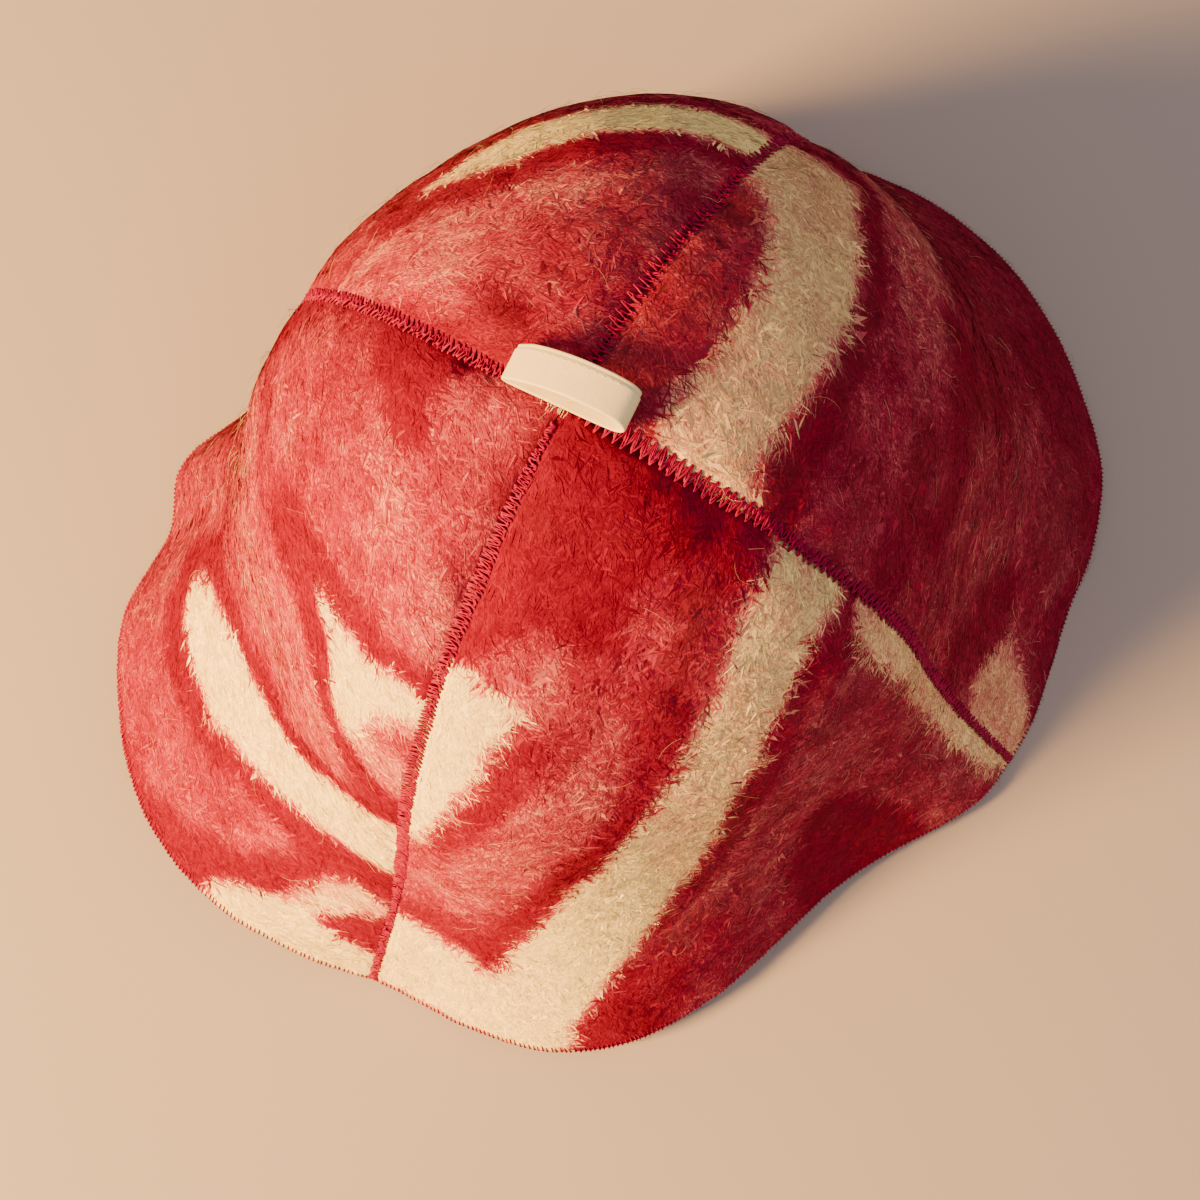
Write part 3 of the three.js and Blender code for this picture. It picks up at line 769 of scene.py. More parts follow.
    def build(self) -> bpy.types.Object:
        """Makes the cloth as a closed wall with rounded edges.

        Returns:
            The gore's object.
        """
        bm = bmesh.new()
        bmesh.ops.create_grid(bm, x_segments=self.columns, y_segments=self.rows, size=1.0)
        bmesh.ops.solidify(bm, geom=bm.faces[:], thickness=1.0)
        mesh = bpy.data.meshes.new(f"{self.node}_cloth")
        bm.to_mesh(mesh)
        bm.free()
        flat = read_points(mesh)
        u = np.round((flat[:, 0] + 1) / 2 * self.columns) / self.columns
        v = np.round((flat[:, 1] + 1) / 2 * self.rows) / self.rows
        inner = np.abs(flat[:, 2]) > 0.5
        grid_u, grid_v = np.meshgrid(
            np.arange(self.columns + 1) / self.columns, np.arange(self.rows + 1) / self.rows, indexing="ij"
        )
        heading, along = self._spread(grid_u, grid_v)
        plain = HAT.cloth(heading, along)
        normal = HAT.normal(heading, along)
        relief = self._relief(heading, along, plain)
        outside = plain + normal * relief[..., None]
        outside[..., 2] = np.maximum(outside[..., 2], 0.0)
        tilt = np.cross(np.gradient(outside, axis=1), np.gradient(outside, axis=0))
        chart = self._chart(heading, along)
        dye = self._paint(heading, along, plain, chart)
        self.weave = Weave(heading, along, outside, unit(tilt), dye, chart)
        edge = self._edge_distance(heading, along)
        seam_side = np.clip(1 - edge / self.seam_round, 0, 1)
        hem_side = np.clip(1 - (1 - along) * HAT.gore_length / self.hem_round, 0, 1)
        thin = self.edge_thinning * (2 - np.sqrt(1 - seam_side**2) - np.sqrt(1 - hem_side**2))
        inside = plain - normal * (HAT.thickness - np.minimum(thin, self.most_thinning))[..., None]
        inside[..., 2] = np.maximum(inside[..., 2], 0.0)
        i = np.rint(u * self.columns).astype(int)
        j = np.rint(v * self.rows).astype(int)
        spots = np.where(inner[:, None], inside[i, j], outside[i, j])
        mesh.vertices.foreach_set("co", (spots * MM).astype(np.float32).ravel())
        mesh.update()
        outward_faces(mesh)
        share = dye[i, j]
        write_attribute(mesh, "dye", np.column_stack([share, inner.astype(float)]))
        apart = np.full(len(i), CHARTS_APART * self.seed)
        write_attribute(mesh, "nap", np.column_stack([chart[i, j], apart]))
        smooth_shaded(mesh)
        return place(mesh, self.node.replace("gore", "cloth"))

    def dress(self, cloth: bpy.types.Object, finish: "WoolFinish") -> None:
        """Gives the cloth its finish, hangs it under the root body and hides the gore's solid.

        Args:
            cloth: The gore's object.
            finish: The wool's finish.
        """
        cloth.data.materials.append(finish.material())
        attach(cloth, "root")
        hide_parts(self.node)


# ------------------------------------------------------------------------------------- mesh tools
def read_points(mesh: bpy.types.Mesh) -> Array:
    """All vertex places of a mesh.

    Args:
        mesh: The mesh.

    Returns:
        Points, three numbers each.
    """
    found = np.empty(len(mesh.vertices) * 3, np.float32)
    mesh.vertices.foreach_get("co", found)
    return found.reshape(-1, 3).astype(float)


def write_attribute(mesh: bpy.types.Mesh, name: str, values: Array) -> None:
    """Stores three numbers at each vertex under a name.

    Args:
        mesh: The mesh.
        name: The attribute's name.
        values: Three numbers a vertex.
    """
    made = mesh.attributes.new(name, "FLOAT_VECTOR", "POINT")
    made.data.foreach_set("vector", np.ascontiguousarray(values, np.float32).ravel())


def smooth_shaded(mesh: bpy.types.Mesh) -> None:
    """Shades every face smoothly."""
    mesh.polygons.foreach_set("use_smooth", np.ones(len(mesh.polygons), bool))
    mesh.update()


def outward_faces(mesh: bpy.types.Mesh) -> None:
    """Turns a closed mesh's faces outwards.

    Args:
        mesh: The mesh, which is changed.
    """
    bm = bmesh.new()
    bm.from_mesh(mesh)
    if bm.calc_volume(signed=True) < 0:
        bmesh.ops.reverse_faces(bm, faces=bm.faces[:])
        bm.to_mesh(mesh)
    bm.free()


def place(mesh: bpy.types.Mesh, name: str) -> bpy.types.Object:
    """Puts a mesh in the scene as an object at the origin.

    Args:
        mesh: The mesh.
        name: The object's name.

    Returns:
        The object.
    """
    made = bpy.data.objects.new(name, mesh)
    bpy.context.scene.collection.objects.link(made)
    LOG.info("%s: %d faces", name, len(mesh.polygons))
    return made


def mesh_of(name: str, points: Array, faces: Array) -> bpy.types.Mesh:
    """Makes a mesh from many small joined forms whose faces all have the same number of corners.

    Args:
        name: The mesh's name.
        points: Vertex places in millimetres.
        faces: Vertex numbers, one row a face.

    Returns:
        The mesh, in metres.
    """
    mesh = bpy.data.meshes.new(name)
    corners = faces.shape[1]
    mesh.vertices.add(len(points))
    mesh.vertices.foreach_set("co", (points * MM).astype(np.float32).ravel())
    mesh.loops.add(faces.size)
    mesh.loops.foreach_set("vertex_index", faces.astype(np.int32).ravel())
    mesh.polygons.add(len(faces))
    mesh.polygons.foreach_set("loop_start", np.arange(len(faces), dtype=np.int32) * corners)
    mesh.update(calc_edges=True)
    mesh.validate()
    return mesh


def strands(paths: Array, ups: Array, radii: Array, sides: int) -> tuple[Array, Array]:
    """Closed thin strands, each with a point at both ends and rings of vertices between.

    Args:
        paths: Middle lines, shaped (strands, points, 3).
        ups: A direction off the cloth at each point, same shape.
        radii: Ring radii at the inner points, shaped (strands, points - 2).
        sides: Vertices in a ring.

    Returns:
        Vertex places and triangles.
    """
    count, steps = paths.shape[:2]
    ahead = unit(np.gradient(paths, axis=1))
    side = unit(np.cross(ahead, ups))
    top = np.cross(side, ahead)
    rings = steps - 2
    angle = np.arange(sides) * 2 * math.pi / sides + math.pi / 2
    middle = paths[:, 1:-1, None]
    ring = middle + radii[:, :, None, None] * (
        side[:, 1:-1, None] * np.cos(angle)[:, None] + top[:, 1:-1, None] * np.sin(angle)[:, None]
    )
    points = np.concatenate([paths[:, :1], ring.reshape(count, rings * sides, 3), paths[:, -1:]], 1)
    size = rings * sides + 2
    faces = []
    for k in range(sides):
        after = (k + 1) % sides
        faces.append((0, 1 + after, 1 + k))
        last = 1 + (rings - 1) * sides
        faces.append((size - 1, last + k, last + after))
        for row in range(rings - 1):
            a, b = 1 + row * sides, 1 + (row + 1) * sides
            faces.append((a + k, a + after, b + after))
            faces.append((a + k, b + after, b + k))
    pattern = np.array(faces)
    numbers = (np.arange(count) * size)[:, None, None] + pattern[None]
    return points.reshape(-1, 3), numbers.reshape(-1, 3)


# ------------------------------------------------------------------------------------------ nap
def blades(paths: Array, ups: Array, halves: Array) -> tuple[Array, Array]:
    """Closed flat slivers of four faces, each from a root over two shoulders to a tip.

    Args:
        paths: Root, middle and tip of each, shaped (blades, 3, 3).
        ups: A direction off the cloth at each point, same shape.
        halves: Half widths at the middle.

    Returns:
        Vertex places and triangles.
    """
    side = unit(np.cross(paths[:, 2] - paths[:, 0], ups[:, 1])) * halves[:, None]
    points = np.stack([paths[:, 0], paths[:, 1] + side, paths[:, 1] - side, paths[:, 2]], 1)
    pattern = np.array([(0, 1, 2), (3, 2, 1), (0, 3, 1), (0, 2, 3)])
    numbers = (np.arange(len(paths)) * 4)[:, None, None] + pattern[None]
    return points.reshape(-1, 3), numbers.reshape(-1, 3)


@dataclass
class Nap:
    """The raised fibres on a gore's face, and a few long loose hairs."""

    gore: Gore
    fibres: int = 41000
    length: tuple[float, float] = (2.8, 7.2)
    half_width: tuple[float, float] = (0.016, 0.034)
    lift: tuple[float, float] = (0.04, 0.25)
    lift_tuft: float = 2.6
    root_depth: float = 0.15
    arch: float = 0.6
    stray: float = 0.5
    swirl: float = 0.9
    swirl_size: float = 7.0
    curl: float = 1.0
    tilt: float = 0.15
    pick: float = 0.2
    tuft_sizes: tuple[float, float] = (1.7, 2.2)
    tuft_plain: tuple[float, float] = (0.03, 0.14)
    tuft_mixed: float = 0.7
    tuft_shares: tuple[float, float] = (1.0, 0.8)
    light_tuft: float = 1.6
    light_change: tuple[float, float] = (0.3, 0.15)
    hairs: int = 520
    hair_length: tuple[float, float] = (4.0, 10.0)
    hair_lift: tuple[float, float] = (0.5, 1.8)
    hair_stray: float = 1.1
    hair_curl: float = 1.6
    hair_radius: float = 0.028
    hair_points: int = 7
    hair_sides: int = 3
    hair_pick: float = 0.9
    hair_cream: float = 0.4
    margin: float = 0.004

    def _roots(self, rng: np.random.Generator, count: int) -> tuple[Array, Array]:
        """Grid places spread evenly over the cloth.

        Args:
            rng: Random numbers.
            count: How many.

        Returns:
            Places across and down.
        """
        weave = self.gore.weave
        du = np.linalg.norm(np.gradient(weave.points, axis=0), axis=-1)
        dv = np.linalg.norm(np.gradient(weave.points, axis=1), axis=-1)
        area = (du * dv).ravel()
        picks = rng.choice(area.size, count, p=area / area.sum())
        columns, rows = weave.along.shape
        u = (picks // rows + rng.uniform(-0.5, 0.5, count)) / (columns - 1)
        v = (picks % rows + rng.uniform(-0.5, 0.5, count)) / (rows - 1)
        m = self.margin
        return np.clip(u, m, 1 - m), np.clip(v, m, 1 - m)

    def _steer(self, u: Array, v: Array, turn: Array) -> tuple[Array, Array]:
        """Steps over the grid that go 1 mm over the cloth, at an angle to the nap.

        Args:
            u: Places across.
            v: Places down.
            turn: Angles off the nap, in radians.

        Returns:
            Steps in u and in v.
        """
        weave = self.gore.weave
        columns, rows = weave.along.shape
        by_u = np.gradient(weave.chart, axis=0) * (columns - 1)
        by_v = np.gradient(weave.chart, axis=1) * (rows - 1)
        a, b = weave.at(by_u, u, v), weave.at(by_v, u, v)
        want = np.column_stack([np.sin(turn), np.cos(turn)])
        det = a[:, 0] * b[:, 1] - a[:, 1] * b[:, 0]
        det = np.where(np.abs(det) < 1e-6, 1e-6, det)
        step_u = (want[:, 0] * b[:, 1] - want[:, 1] * b[:, 0]) / det
        step_v = (a[:, 0] * want[:, 1] - a[:, 1] * want[:, 0]) / det
        return np.clip(step_u, -0.08, 0.08), np.clip(step_v, -0.02, 0.02)

    def _tufts(self, u: Array, v: Array, offset: float, size: float) -> Array:
        """Noise over the flat cloth that fibres of one tuft share.

        Args:
            u: Places across.
            v: Places down.
            offset: Where in the noise to read.
            size: A tuft's size.

        Returns:
            Numbers from -1 to 1.
        """
        chart = self.gore.weave.at(self.gore.weave.chart, u, v)
        place = np.column_stack([chart[:, 0], chart[:, 1] * NAP_STRETCH, np.full(len(u), offset)])
        return SoftNoise(self.gore.seed + 40)(place, size)

    def _lay(self, u: Array, v: Array, steps: int, lengths: Array, lifts: Array, turn: Array,
             curl: Array) -> tuple[Array, Array]:
        """Middle lines of strands that follow the cloth.

        Args:
            u: Roots' places across.
            v: Roots' places down.
            steps: Points in each.
            lengths: Their lengths.
            lifts: How high each stands at its tip.
            turn: Angles off the nap.
            curl: Change of angle over the length.

        Returns:
            Middle lines and directions off the cloth.
        """
        weave = self.gore.weave
        paths, ups = [], []
        for index in range(steps):
            share = index / (steps - 1)
            normal = unit(weave.at(weave.normals, u, v))
            rise = -self.root_depth + (lifts + self.root_depth) * math.sin(share * math.pi * self.arch)
            paths.append(weave.at(weave.points, u, v) + normal * rise[:, None])
            ups.append(normal)
            step_u, step_v = self._steer(u, v, turn + curl * share)
            stride = lengths / (steps - 1)
            u = u + step_u * stride
            v = v + step_v * stride
        return np.stack(paths, 1), np.stack(ups, 1)

    def _dye(self, rng: np.random.Generator, u: Array, v: Array, pick: float) -> Array:
        """Each strand's own cream share, wine share and lightness.

        Args:
            rng: Random numbers.
            u: Places across.
            v: Places down.
            pick: How far each strand is of one wool alone, from 0 to 1.

        Returns:
            Three numbers a strand.
        """
        share = self.gore.weave.at(self.gore.weave.dye, u, v)
        cream_size, wine_size = self.tuft_sizes
        tuft = np.column_stack([self._tufts(u, v, 3.0, cream_size), self._tufts(u, v, 90.0, wine_size)])
        room = np.array(self.tuft_plain) + self.tuft_mixed * share * (1 - share)
        share = np.clip(share + tuft * room * self.tuft_shares, 0, 1)
        draw = rng.uniform(0, 1, (len(u), 2))
        firm = np.clip((share - 0.08) / 0.84, 0, 1)
        chosen = np.clip(0.5 + (firm - draw) * 2.2 + (firm - 0.5), 0, 1)
        mixed = share * (1 - pick) + chosen * pick
        shared, own = self.light_change
        light = 0.5 + shared * self._tufts(u, v, 61.0, self.light_tuft) + rng.normal(0, own, len(u))
        light = np.clip(light, 0, 1)
        return np.column_stack([mixed, light])

    def build(self) -> bpy.types.Object:
        """Makes every fibre and hair of the gore as one joined mesh.

        Returns:
            The nap's object.
        """
        rng = np.random.default_rng(self.gore.seed * 7 + 3)
        n = self.fibres
        u, v = self._roots(rng, n)
        lengths = rng.uniform(*self.length, n)
        tuft = 0.5 + 0.5 * self._tufts(u, v, 17.0, self.lift_tuft)
        low, high = self.lift
        lifts = low + (high - low) * (0.5 * tuft + 0.5 * rng.uniform(0, 1, n) ** 2) ** 1.5
        turn = self.swirl * self._tufts(u, v, 8.0, self.swirl_size) + rng.normal(0, self.stray, n)
        paths, ups = self._lay(u, v, 3, lengths, lifts, turn, rng.normal(0, self.curl, n))
        points, faces = blades(paths, ups, rng.uniform(*self.half_width, n))
        dye = np.repeat(self._dye(rng, u, v, self.pick), 4, axis=0)
        facing = np.stack([ups[:, 0], ups[:, 1], ups[:, 1], ups[:, 2]], 1)
        facing = (facing + self.tilt * rng.standard_normal((n, 1, 3))).reshape(-1, 3)
        flat_faces = len(faces)
        m = self.hairs
        u, v = self._roots(rng, m)
        lengths = rng.uniform(*self.hair_length, m)
        lifts = rng.uniform(*self.hair_lift, m)
        turn = rng.normal(0, self.hair_stray, m)
        paths, ups = self._lay(u, v, self.hair_points, lengths, lifts, turn, rng.normal(0, self.hair_curl, m))
        rings = self.hair_points - 2
        more_points, more_faces = strands(paths, ups, np.full((m, rings), self.hair_radius), self.hair_sides)
        corners = rings * self.hair_sides + 2
        light = self._dye(rng, u, v, self.hair_pick)
        light[:, 0] = np.clip(light[:, 0] + self.hair_cream, 0, 1)
        faces = np.concatenate([faces, more_faces + len(points)])
        points = np.concatenate([points, more_points])
        dye = np.concatenate([dye, np.repeat(light, corners, axis=0)])
        facing = np.concatenate([facing, np.repeat(ups[:, self.hair_points // 2], corners, axis=0)])
        points[:, 2] = np.maximum(points[:, 2], 0.02)
        mesh = mesh_of(f"{self.gore.node}_nap", points, faces)
        write_attribute(mesh, "dye", dye)
        write_attribute(mesh, "facing", unit(facing))
        round_faces = np.arange(len(mesh.polygons)) >= flat_faces
        mesh.polygons.foreach_set("use_smooth", round_faces)
        mesh.update()
        return place(mesh, self.gore.node.replace("gore", "nap"))


# ------------------------------------------------------------------------------------ stitching
@dataclass
class SeamStitching:
    """Runs of zigzag thread over one seam, above a core of thicker bars."""

    name: str
    before: Gore
    after: Gore
    width: tuple[tuple[float, float], ...]
    core: tuple[tuple[float, float], ...]
    pitch: float
    seed: int
    shift: float = 0.0
    start: float = 0.018
    end: float = 0.997
    radius: float = 0.185
    height: float = 0.24
    phases: tuple[float, ...] = (0.0,)
    core_pitch: float = 2.1
    core_radius: float = 0.31
    core_height: float = 0.1
    pitch_stray: float = 0.05
    width_stray: float = 0.16
    least_width: float = 0.4
    buried: float = -0.35
    crest: float = 0.12
    bridge_reach: float = 1.4
    bridge_height: float = 0.6
    stops: tuple[float, ...] = (0.0, 0.12, 0.5, 0.88, 1.0)

    def _cloth_at(self, offset: Array, along: Array) -> tuple[Array, Array]:
        """Cloth points and normals beside the seam.

        Args:
            offset: Distance off the seam, less than 0 on the gore before it.
            along: Fractions along the seam.

        Returns:
            Points and outward normals.
        """
        heading = self.before.end
        plain = HAT.cloth(heading, along) - HAT.shift
        radius = np.maximum(np.hypot(plain[..., 0], plain[..., 1]), 1.0)
        turn = np.degrees(offset / radius)
        points = np.empty((*offset.shape, 3))
        normals = np.empty((*offset.shape, 3))
        for gore, mine in ((self.before, offset < 0), (self.after, offset >= 0)):
            at = np.where(mine, turn, 0.0)
            head = (gore.end if gore is self.before else gore.start) + at
            u, v = self._grid_place(gore, head, along)
            spot = gore.weave.at(gore.weave.points, u.ravel(), v.ravel()).reshape(points.shape)
            tilt = gore.weave.at(gore.weave.normals, u.ravel(), v.ravel()).reshape(points.shape)
            points[mine] = spot[mine]
            normals[mine] = unit(tilt)[mine]
        return points, normals

    @staticmethod
    def _grid_place(gore: Gore, heading: Array, along: Array) -> tuple[Array, Array]:
        """Where a heading and a fraction along lie on a gore's grid.

        Args:
            gore: The gore.
            heading: Degrees anticlockwise from +X.
            along: Fractions along the gore.

        Returns:
            Places across and down.
        """
        rows = gore.weave.along[0]
        v = np.interp(along, rows, np.linspace(0, 1, len(rows)))
        share = (heading - gore.start) / (gore.end - gore.start)
        table = np.linspace(0, 1, 241)
        spread = table - EDGE_CROWDING * np.sin(2 * math.pi * table) / (2 * math.pi)
        return np.interp(share, spread, table), v

    def _bars(self, width: tuple[tuple[float, float], ...], pitch: float, phase: float, radius: float,
              height: float, rng: np.random.Generator) -> tuple[Array, Array]:
        """Thread bars that go to and fro over the seam.

        Args:
            width: Rows of fraction along the seam and width there.
            pitch: Distance from tooth to tooth.
            phase: Start of the run, in teeth.
            radius: The thread's radius.
            height: How high the bars lie over the cloth.
            rng: Random numbers.

        Returns:
            Vertex places and triangles.
        """
        stations = np.array(width)
        teeth = (1.0 - self.start) * HAT.gore_length / (pitch / 2)
        along = self.start + (np.arange(int(teeth) + 1) + 2 * phase) * (pitch / 2) / HAT.gore_length
        along = along + rng.normal(0, self.pitch_stray * pitch, len(along)) / HAT.gore_length
        along = along[along < self.end]
        wide = np.interp(along, stations[:, 0], stations[:, 1]) / 2
        flip = np.where(np.arange(len(along)) % 2 == 0, -1.0, 1.0)
        reach = flip * (wide + rng.normal(0, self.width_stray, len(along))) + self.shift
        keep = np.minimum(wide[:-1], wide[1:]) > self.least_width
        share = np.array(self.stops)[None]
        lifts = np.array((self.buried, height, height + self.crest, height, self.buried))
        offset = (reach[:-1, None] * (1 - share) + reach[1:, None] * share)[keep]
        run = (along[:-1, None] * (1 - share) + along[1:, None] * share)[keep]
        points, normals = self._cloth_at(offset, run)
        over_seam = np.abs(offset) < self.bridge_reach
        bridge = np.where(over_seam, self.bridge_height * (1 - (offset / self.bridge_reach) ** 2), 0.0)
        base = points + normals * (lifts[None] + bridge)[..., None]
        sizes = radius * rng.uniform(0.88, 1.12, (len(base), 3))
        return strands(base, normals, sizes, 4)

    def build(self) -> bpy.types.Object:
        """Makes the seam's thread as one joined mesh.

        Returns:
            The thread's object.
        """
        rng = np.random.default_rng(900 + self.seed)
        runs = [self._bars(self.core, self.core_pitch, 0.0, self.core_radius, self.core_height, rng)]
        for phase in self.phases:
            runs.append(self._bars(self.width, self.pitch, phase, self.radius, self.height, rng))
        counts = np.cumsum([0] + [len(points) for points, _ in runs])
        points = np.concatenate([points for points, _ in runs])
        faces = np.concatenate([faces + start for (_, faces), start in zip(runs, counts)])
        points[:, 2] = np.maximum(points[:, 2], 0.05)
        mesh = mesh_of(self.name, points, faces)
        smooth_shaded(mesh)
        return place(mesh, self.name)


@dataclass
class HemStitching:
    """Overcast thread that wraps the hem of all four gores."""

    gores: tuple[Gore, ...]
    pitch: float = 1.3
    radius: float = 0.24
    outside: float = 2.3
    inside: float = 1.6
    slant: float = 0.5
    pitch_stray: float = 0.1
    reach_stray: float = 0.35
    seed: int = 77

    def build(self) -> bpy.types.Object:
        """Makes every wrap as one joined mesh.

        Returns:
            The thread's object.
        """
        rng = np.random.default_rng(self.seed)
        paths, ups = [], []
        for gore in self.gores:
            edge = gore.weave.points[:, -1]
            run = np.concatenate([[0], np.cumsum(np.linalg.norm(np.diff(edge, axis=0), axis=1))])
            count = int(run[-1] / self.pitch)
            at = (np.arange(count) + 0.5) / count * run[-1] + rng.normal(0, self.pitch_stray, count)
            u = np.interp(at, run, np.linspace(0, 1, len(run)))
            heading = np.interp(at, run, gore.weave.heading[:, -1])
            slant = self.slant * self.pitch / run[-1]
            wobble = rng.uniform(-self.reach_stray, self.reach_stray, count)
            # Distance up from the hem and height over the cloth, from where the thread comes out.
            stops = (
                (self.outside + 0.4, -0.3), (self.outside, 0.14), (self.outside * 0.5, 0.36), (0.25, 0.3),
            )
            rows = gore.weave.along[0]
            line, off = [], []
            for index, (back, lift) in enumerate(stops):
                along = 1 - (back + wobble * (back > 1)) / HAT.gore_length
                v = np.interp(along, rows, np.linspace(0, 1, len(rows)))
                place_u = np.clip(u - slant * (1 - index / 3), 0, 1)
                normal = unit(gore.weave.at(gore.weave.normals, place_u, v))
                line.append(gore.weave.at(gore.weave.points, place_u, v) + normal * lift)
                off.append(normal)
            normal = HAT.normal(heading, np.ones(count))
            hem = HAT.cloth(heading, np.ones(count))
            down = unit(hem - HAT.cloth(heading, np.full(count, 0.985)))
            # Under the edge, up the inside, and back into the cloth.
            line.append(hem + down * 0.34 - normal * HAT.thickness * 0.5)
            off.append(down)
            line.append(hem - down * 0.5 - normal * (HAT.thickness + 0.02))
            off.append(-normal)
            line.append(hem - down * self.inside - normal * (HAT.thickness - 0.3))
            off.append(-normal)
            paths.append(np.stack(line, 1))
            ups.append(np.stack(off, 1))
        path, up = np.concatenate(paths), np.concatenate(ups)
        sizes = self.radius * rng.uniform(0.85, 1.15, (len(path), path.shape[1] - 2))
        points, faces = strands(path, up, sizes, 3)
        points[:, 2] = np.maximum(points[:, 2], 0.05)
        mesh = mesh_of("hem_overcast", points, faces)
        smooth_shaded(mesh)
        return place(mesh, "hem_overcast")


# ----------------------------------------------------------------------------------- ribbon loop
@dataclass
class HangLoop:
    """The flattened ring of folded tape sewn down behind the apex."""

    node: str = "hang_loop"
    tape: float = 8.5
    skew: float = 1.1
    thickness: float = 0.5
    heading: float = -41.0
    offset: float = 4.0
    seat: float = 0.3
    step_at: float = 0.74
    step_down: float = 0.3
    step_soft: float = 0.015
    rim_from: float = 0.93
    rim_thin: float = 0.6
    groove_off: float = 0.12
    groove_wide: float = 0.02
    groove_deep: float = 0.05
    stitch_pitch: float = 1.75
    stitch_length: float = 1.15
    stitch_radius: float = 0.07
    frayed_ends: int = 11
    frayed_radius: float = 0.085
    seed: int = 41
    line: tuple[tuple[float, float], ...] = (
        (0, 0.3), (7, 0.3), (12, 0.9), (13.8, 3.2), (12, 5.9), (7, 7.1), (0, 6.9), (-7, 5.1),
        (-12.2, 2.4), (-13.7, 1.1), (-12.2, 0.4), (-7, 0.3),
    )
    long_steps: int = 120
    wide_steps: int = 28

    def _course(self, count: int) -> Array:
        """Evenly spaced points of the tape's closed middle line, out and up.

        Args:
            count: How many points.

        Returns:
            Points, each out along the loop and up.
        """
        knots = np.array(self.line, float)
        loop = np.concatenate([knots[-1:], knots, knots[:2]])
        fine = []
        for k in range(len(knots)):
            p0, p1, p2, p3 = loop[k:k + 4]
            t = np.linspace(0, 1, 24, endpoint=False)[:, None]
            fine.append(0.5 * (2 * p1 + (p2 - p0) * t + (2 * p0 - 5 * p1 + 4 * p2 - p3) * t**2
                               + (3 * p1 - p0 - 3 * p2 + p3) * t**3))
        fine = np.concatenate([*fine, knots[:1]])
        run = np.concatenate([[0], np.cumsum(np.linalg.norm(np.diff(fine, axis=0), axis=1))])
        at = np.linspace(0, run[-1], count, endpoint=False)
        return np.column_stack([np.interp(at, run, fine[:, k]) for k in (0, 1)])

    def _to_frame(self, out: Array, back: Array, up: Array) -> Array:
        """Turns lengths along, across and above the loop into points of the frame.

        Args:
            out: Lengths along the loop.
            back: Lengths across it.
            up: Heights.

        Returns:
            Points.
        """
        angle = math.radians(self.heading)
        cos, sin = math.cos(angle), math.sin(angle)
        turn = np.array([[cos, -sin, 0], [sin, cos, 0], [0, 0, 1]])
        apex = HAT.shift + np.array([*HAT.apex_shift, 0.0])
        middle = apex + np.array([-self.offset * sin, self.offset * cos, self.seat])
        return np.stack([out, back, up], -1) @ turn.T + middle

    def _lean(self, up: Array) -> Array:
        """How far back the tape's middle lies at a height: the upper run lies behind the lower."""
        return self.skew * (np.clip((up - 0.3) / 6.8, 0, 1) - 0.5)

    def build(self) -> bpy.types.Object:
        """Makes the tape as a closed band, with a step where its under fold shows along one edge.

        Returns:
            The loop's object.
        """
        bm = bmesh.new()
        bmesh.ops.create_grid(bm, x_segments=self.long_steps, y_segments=self.wide_steps, size=1.0)
        bmesh.ops.solidify(bm, geom=bm.faces[:], thickness=1.0)
        bm.normal_update()
        joint_walls = [face for face in bm.faces if abs(face.normal.x) > 0.9]
        bmesh.ops.delete(bm, geom=joint_walls, context="FACES_ONLY")
        mesh = bpy.data.meshes.new("ribbon_loop")
        bm.to_mesh(mesh)
        flat = read_points(mesh)
        bm.free()
        i = np.rint((flat[:, 0] + 1) / 2 * self.long_steps).astype(int) % self.long_steps
        across = flat[:, 1]
        inner = np.abs(flat[:, 2]) > 0.5
        course = self._course(self.long_steps)
        ahead = unit(np.roll(course, -1, 0) - np.roll(course, 1, 0))
        off = np.column_stack([ahead[:, 1], -ahead[:, 0]])
        step = smooth(across, self.step_at - self.step_soft, self.step_at + self.step_soft)
        rim = np.clip((np.abs(across) - self.rim_from) / 0.07, 0, 1)
        groove = np.exp(-(((across - self.step_at + self.groove_off) / self.groove_wide) ** 2))
        outer_half = self.thickness / 2 - self.step_down * step * 0.9 - self.groove_deep * groove
        half = np.where(inner, -self.thickness / 2, outer_half)
        half = half * (1 - self.rim_thin * rim**2) - 0.04 * rim * np.sign(half)
        spot = course[i] + off[i] * half[:, None]
        lean = self._lean(course[i][:, 1])
        fold_back = np.clip((-course[i][:, 0] - 10.5) / 3.0, 0, 1)
        wide = across * self.tape / 2 * (1 - 0.12 * fold_back * (across > 0)) + lean
        points = self._to_frame(spot[:, 0], wide, spot[:, 1])
        mesh.vertices.foreach_set("co", (points * MM).astype(np.float32).ravel())
        mesh.update()
        bm = bmesh.new()
        bm.from_mesh(mesh)
        bmesh.ops.remove_doubles(bm, verts=bm.verts[:], dist=0.005 * MM)
        bmesh.ops.dissolve_degenerate(bm, edges=bm.edges[:], dist=1e-7)
        bmesh.ops.recalc_face_normals(bm, faces=bm.faces[:])
        bm.to_mesh(mesh)
        bm.free()
        outward_faces(mesh)
        smooth_shaded(mesh)
        return place(mesh, "ribbon_loop")

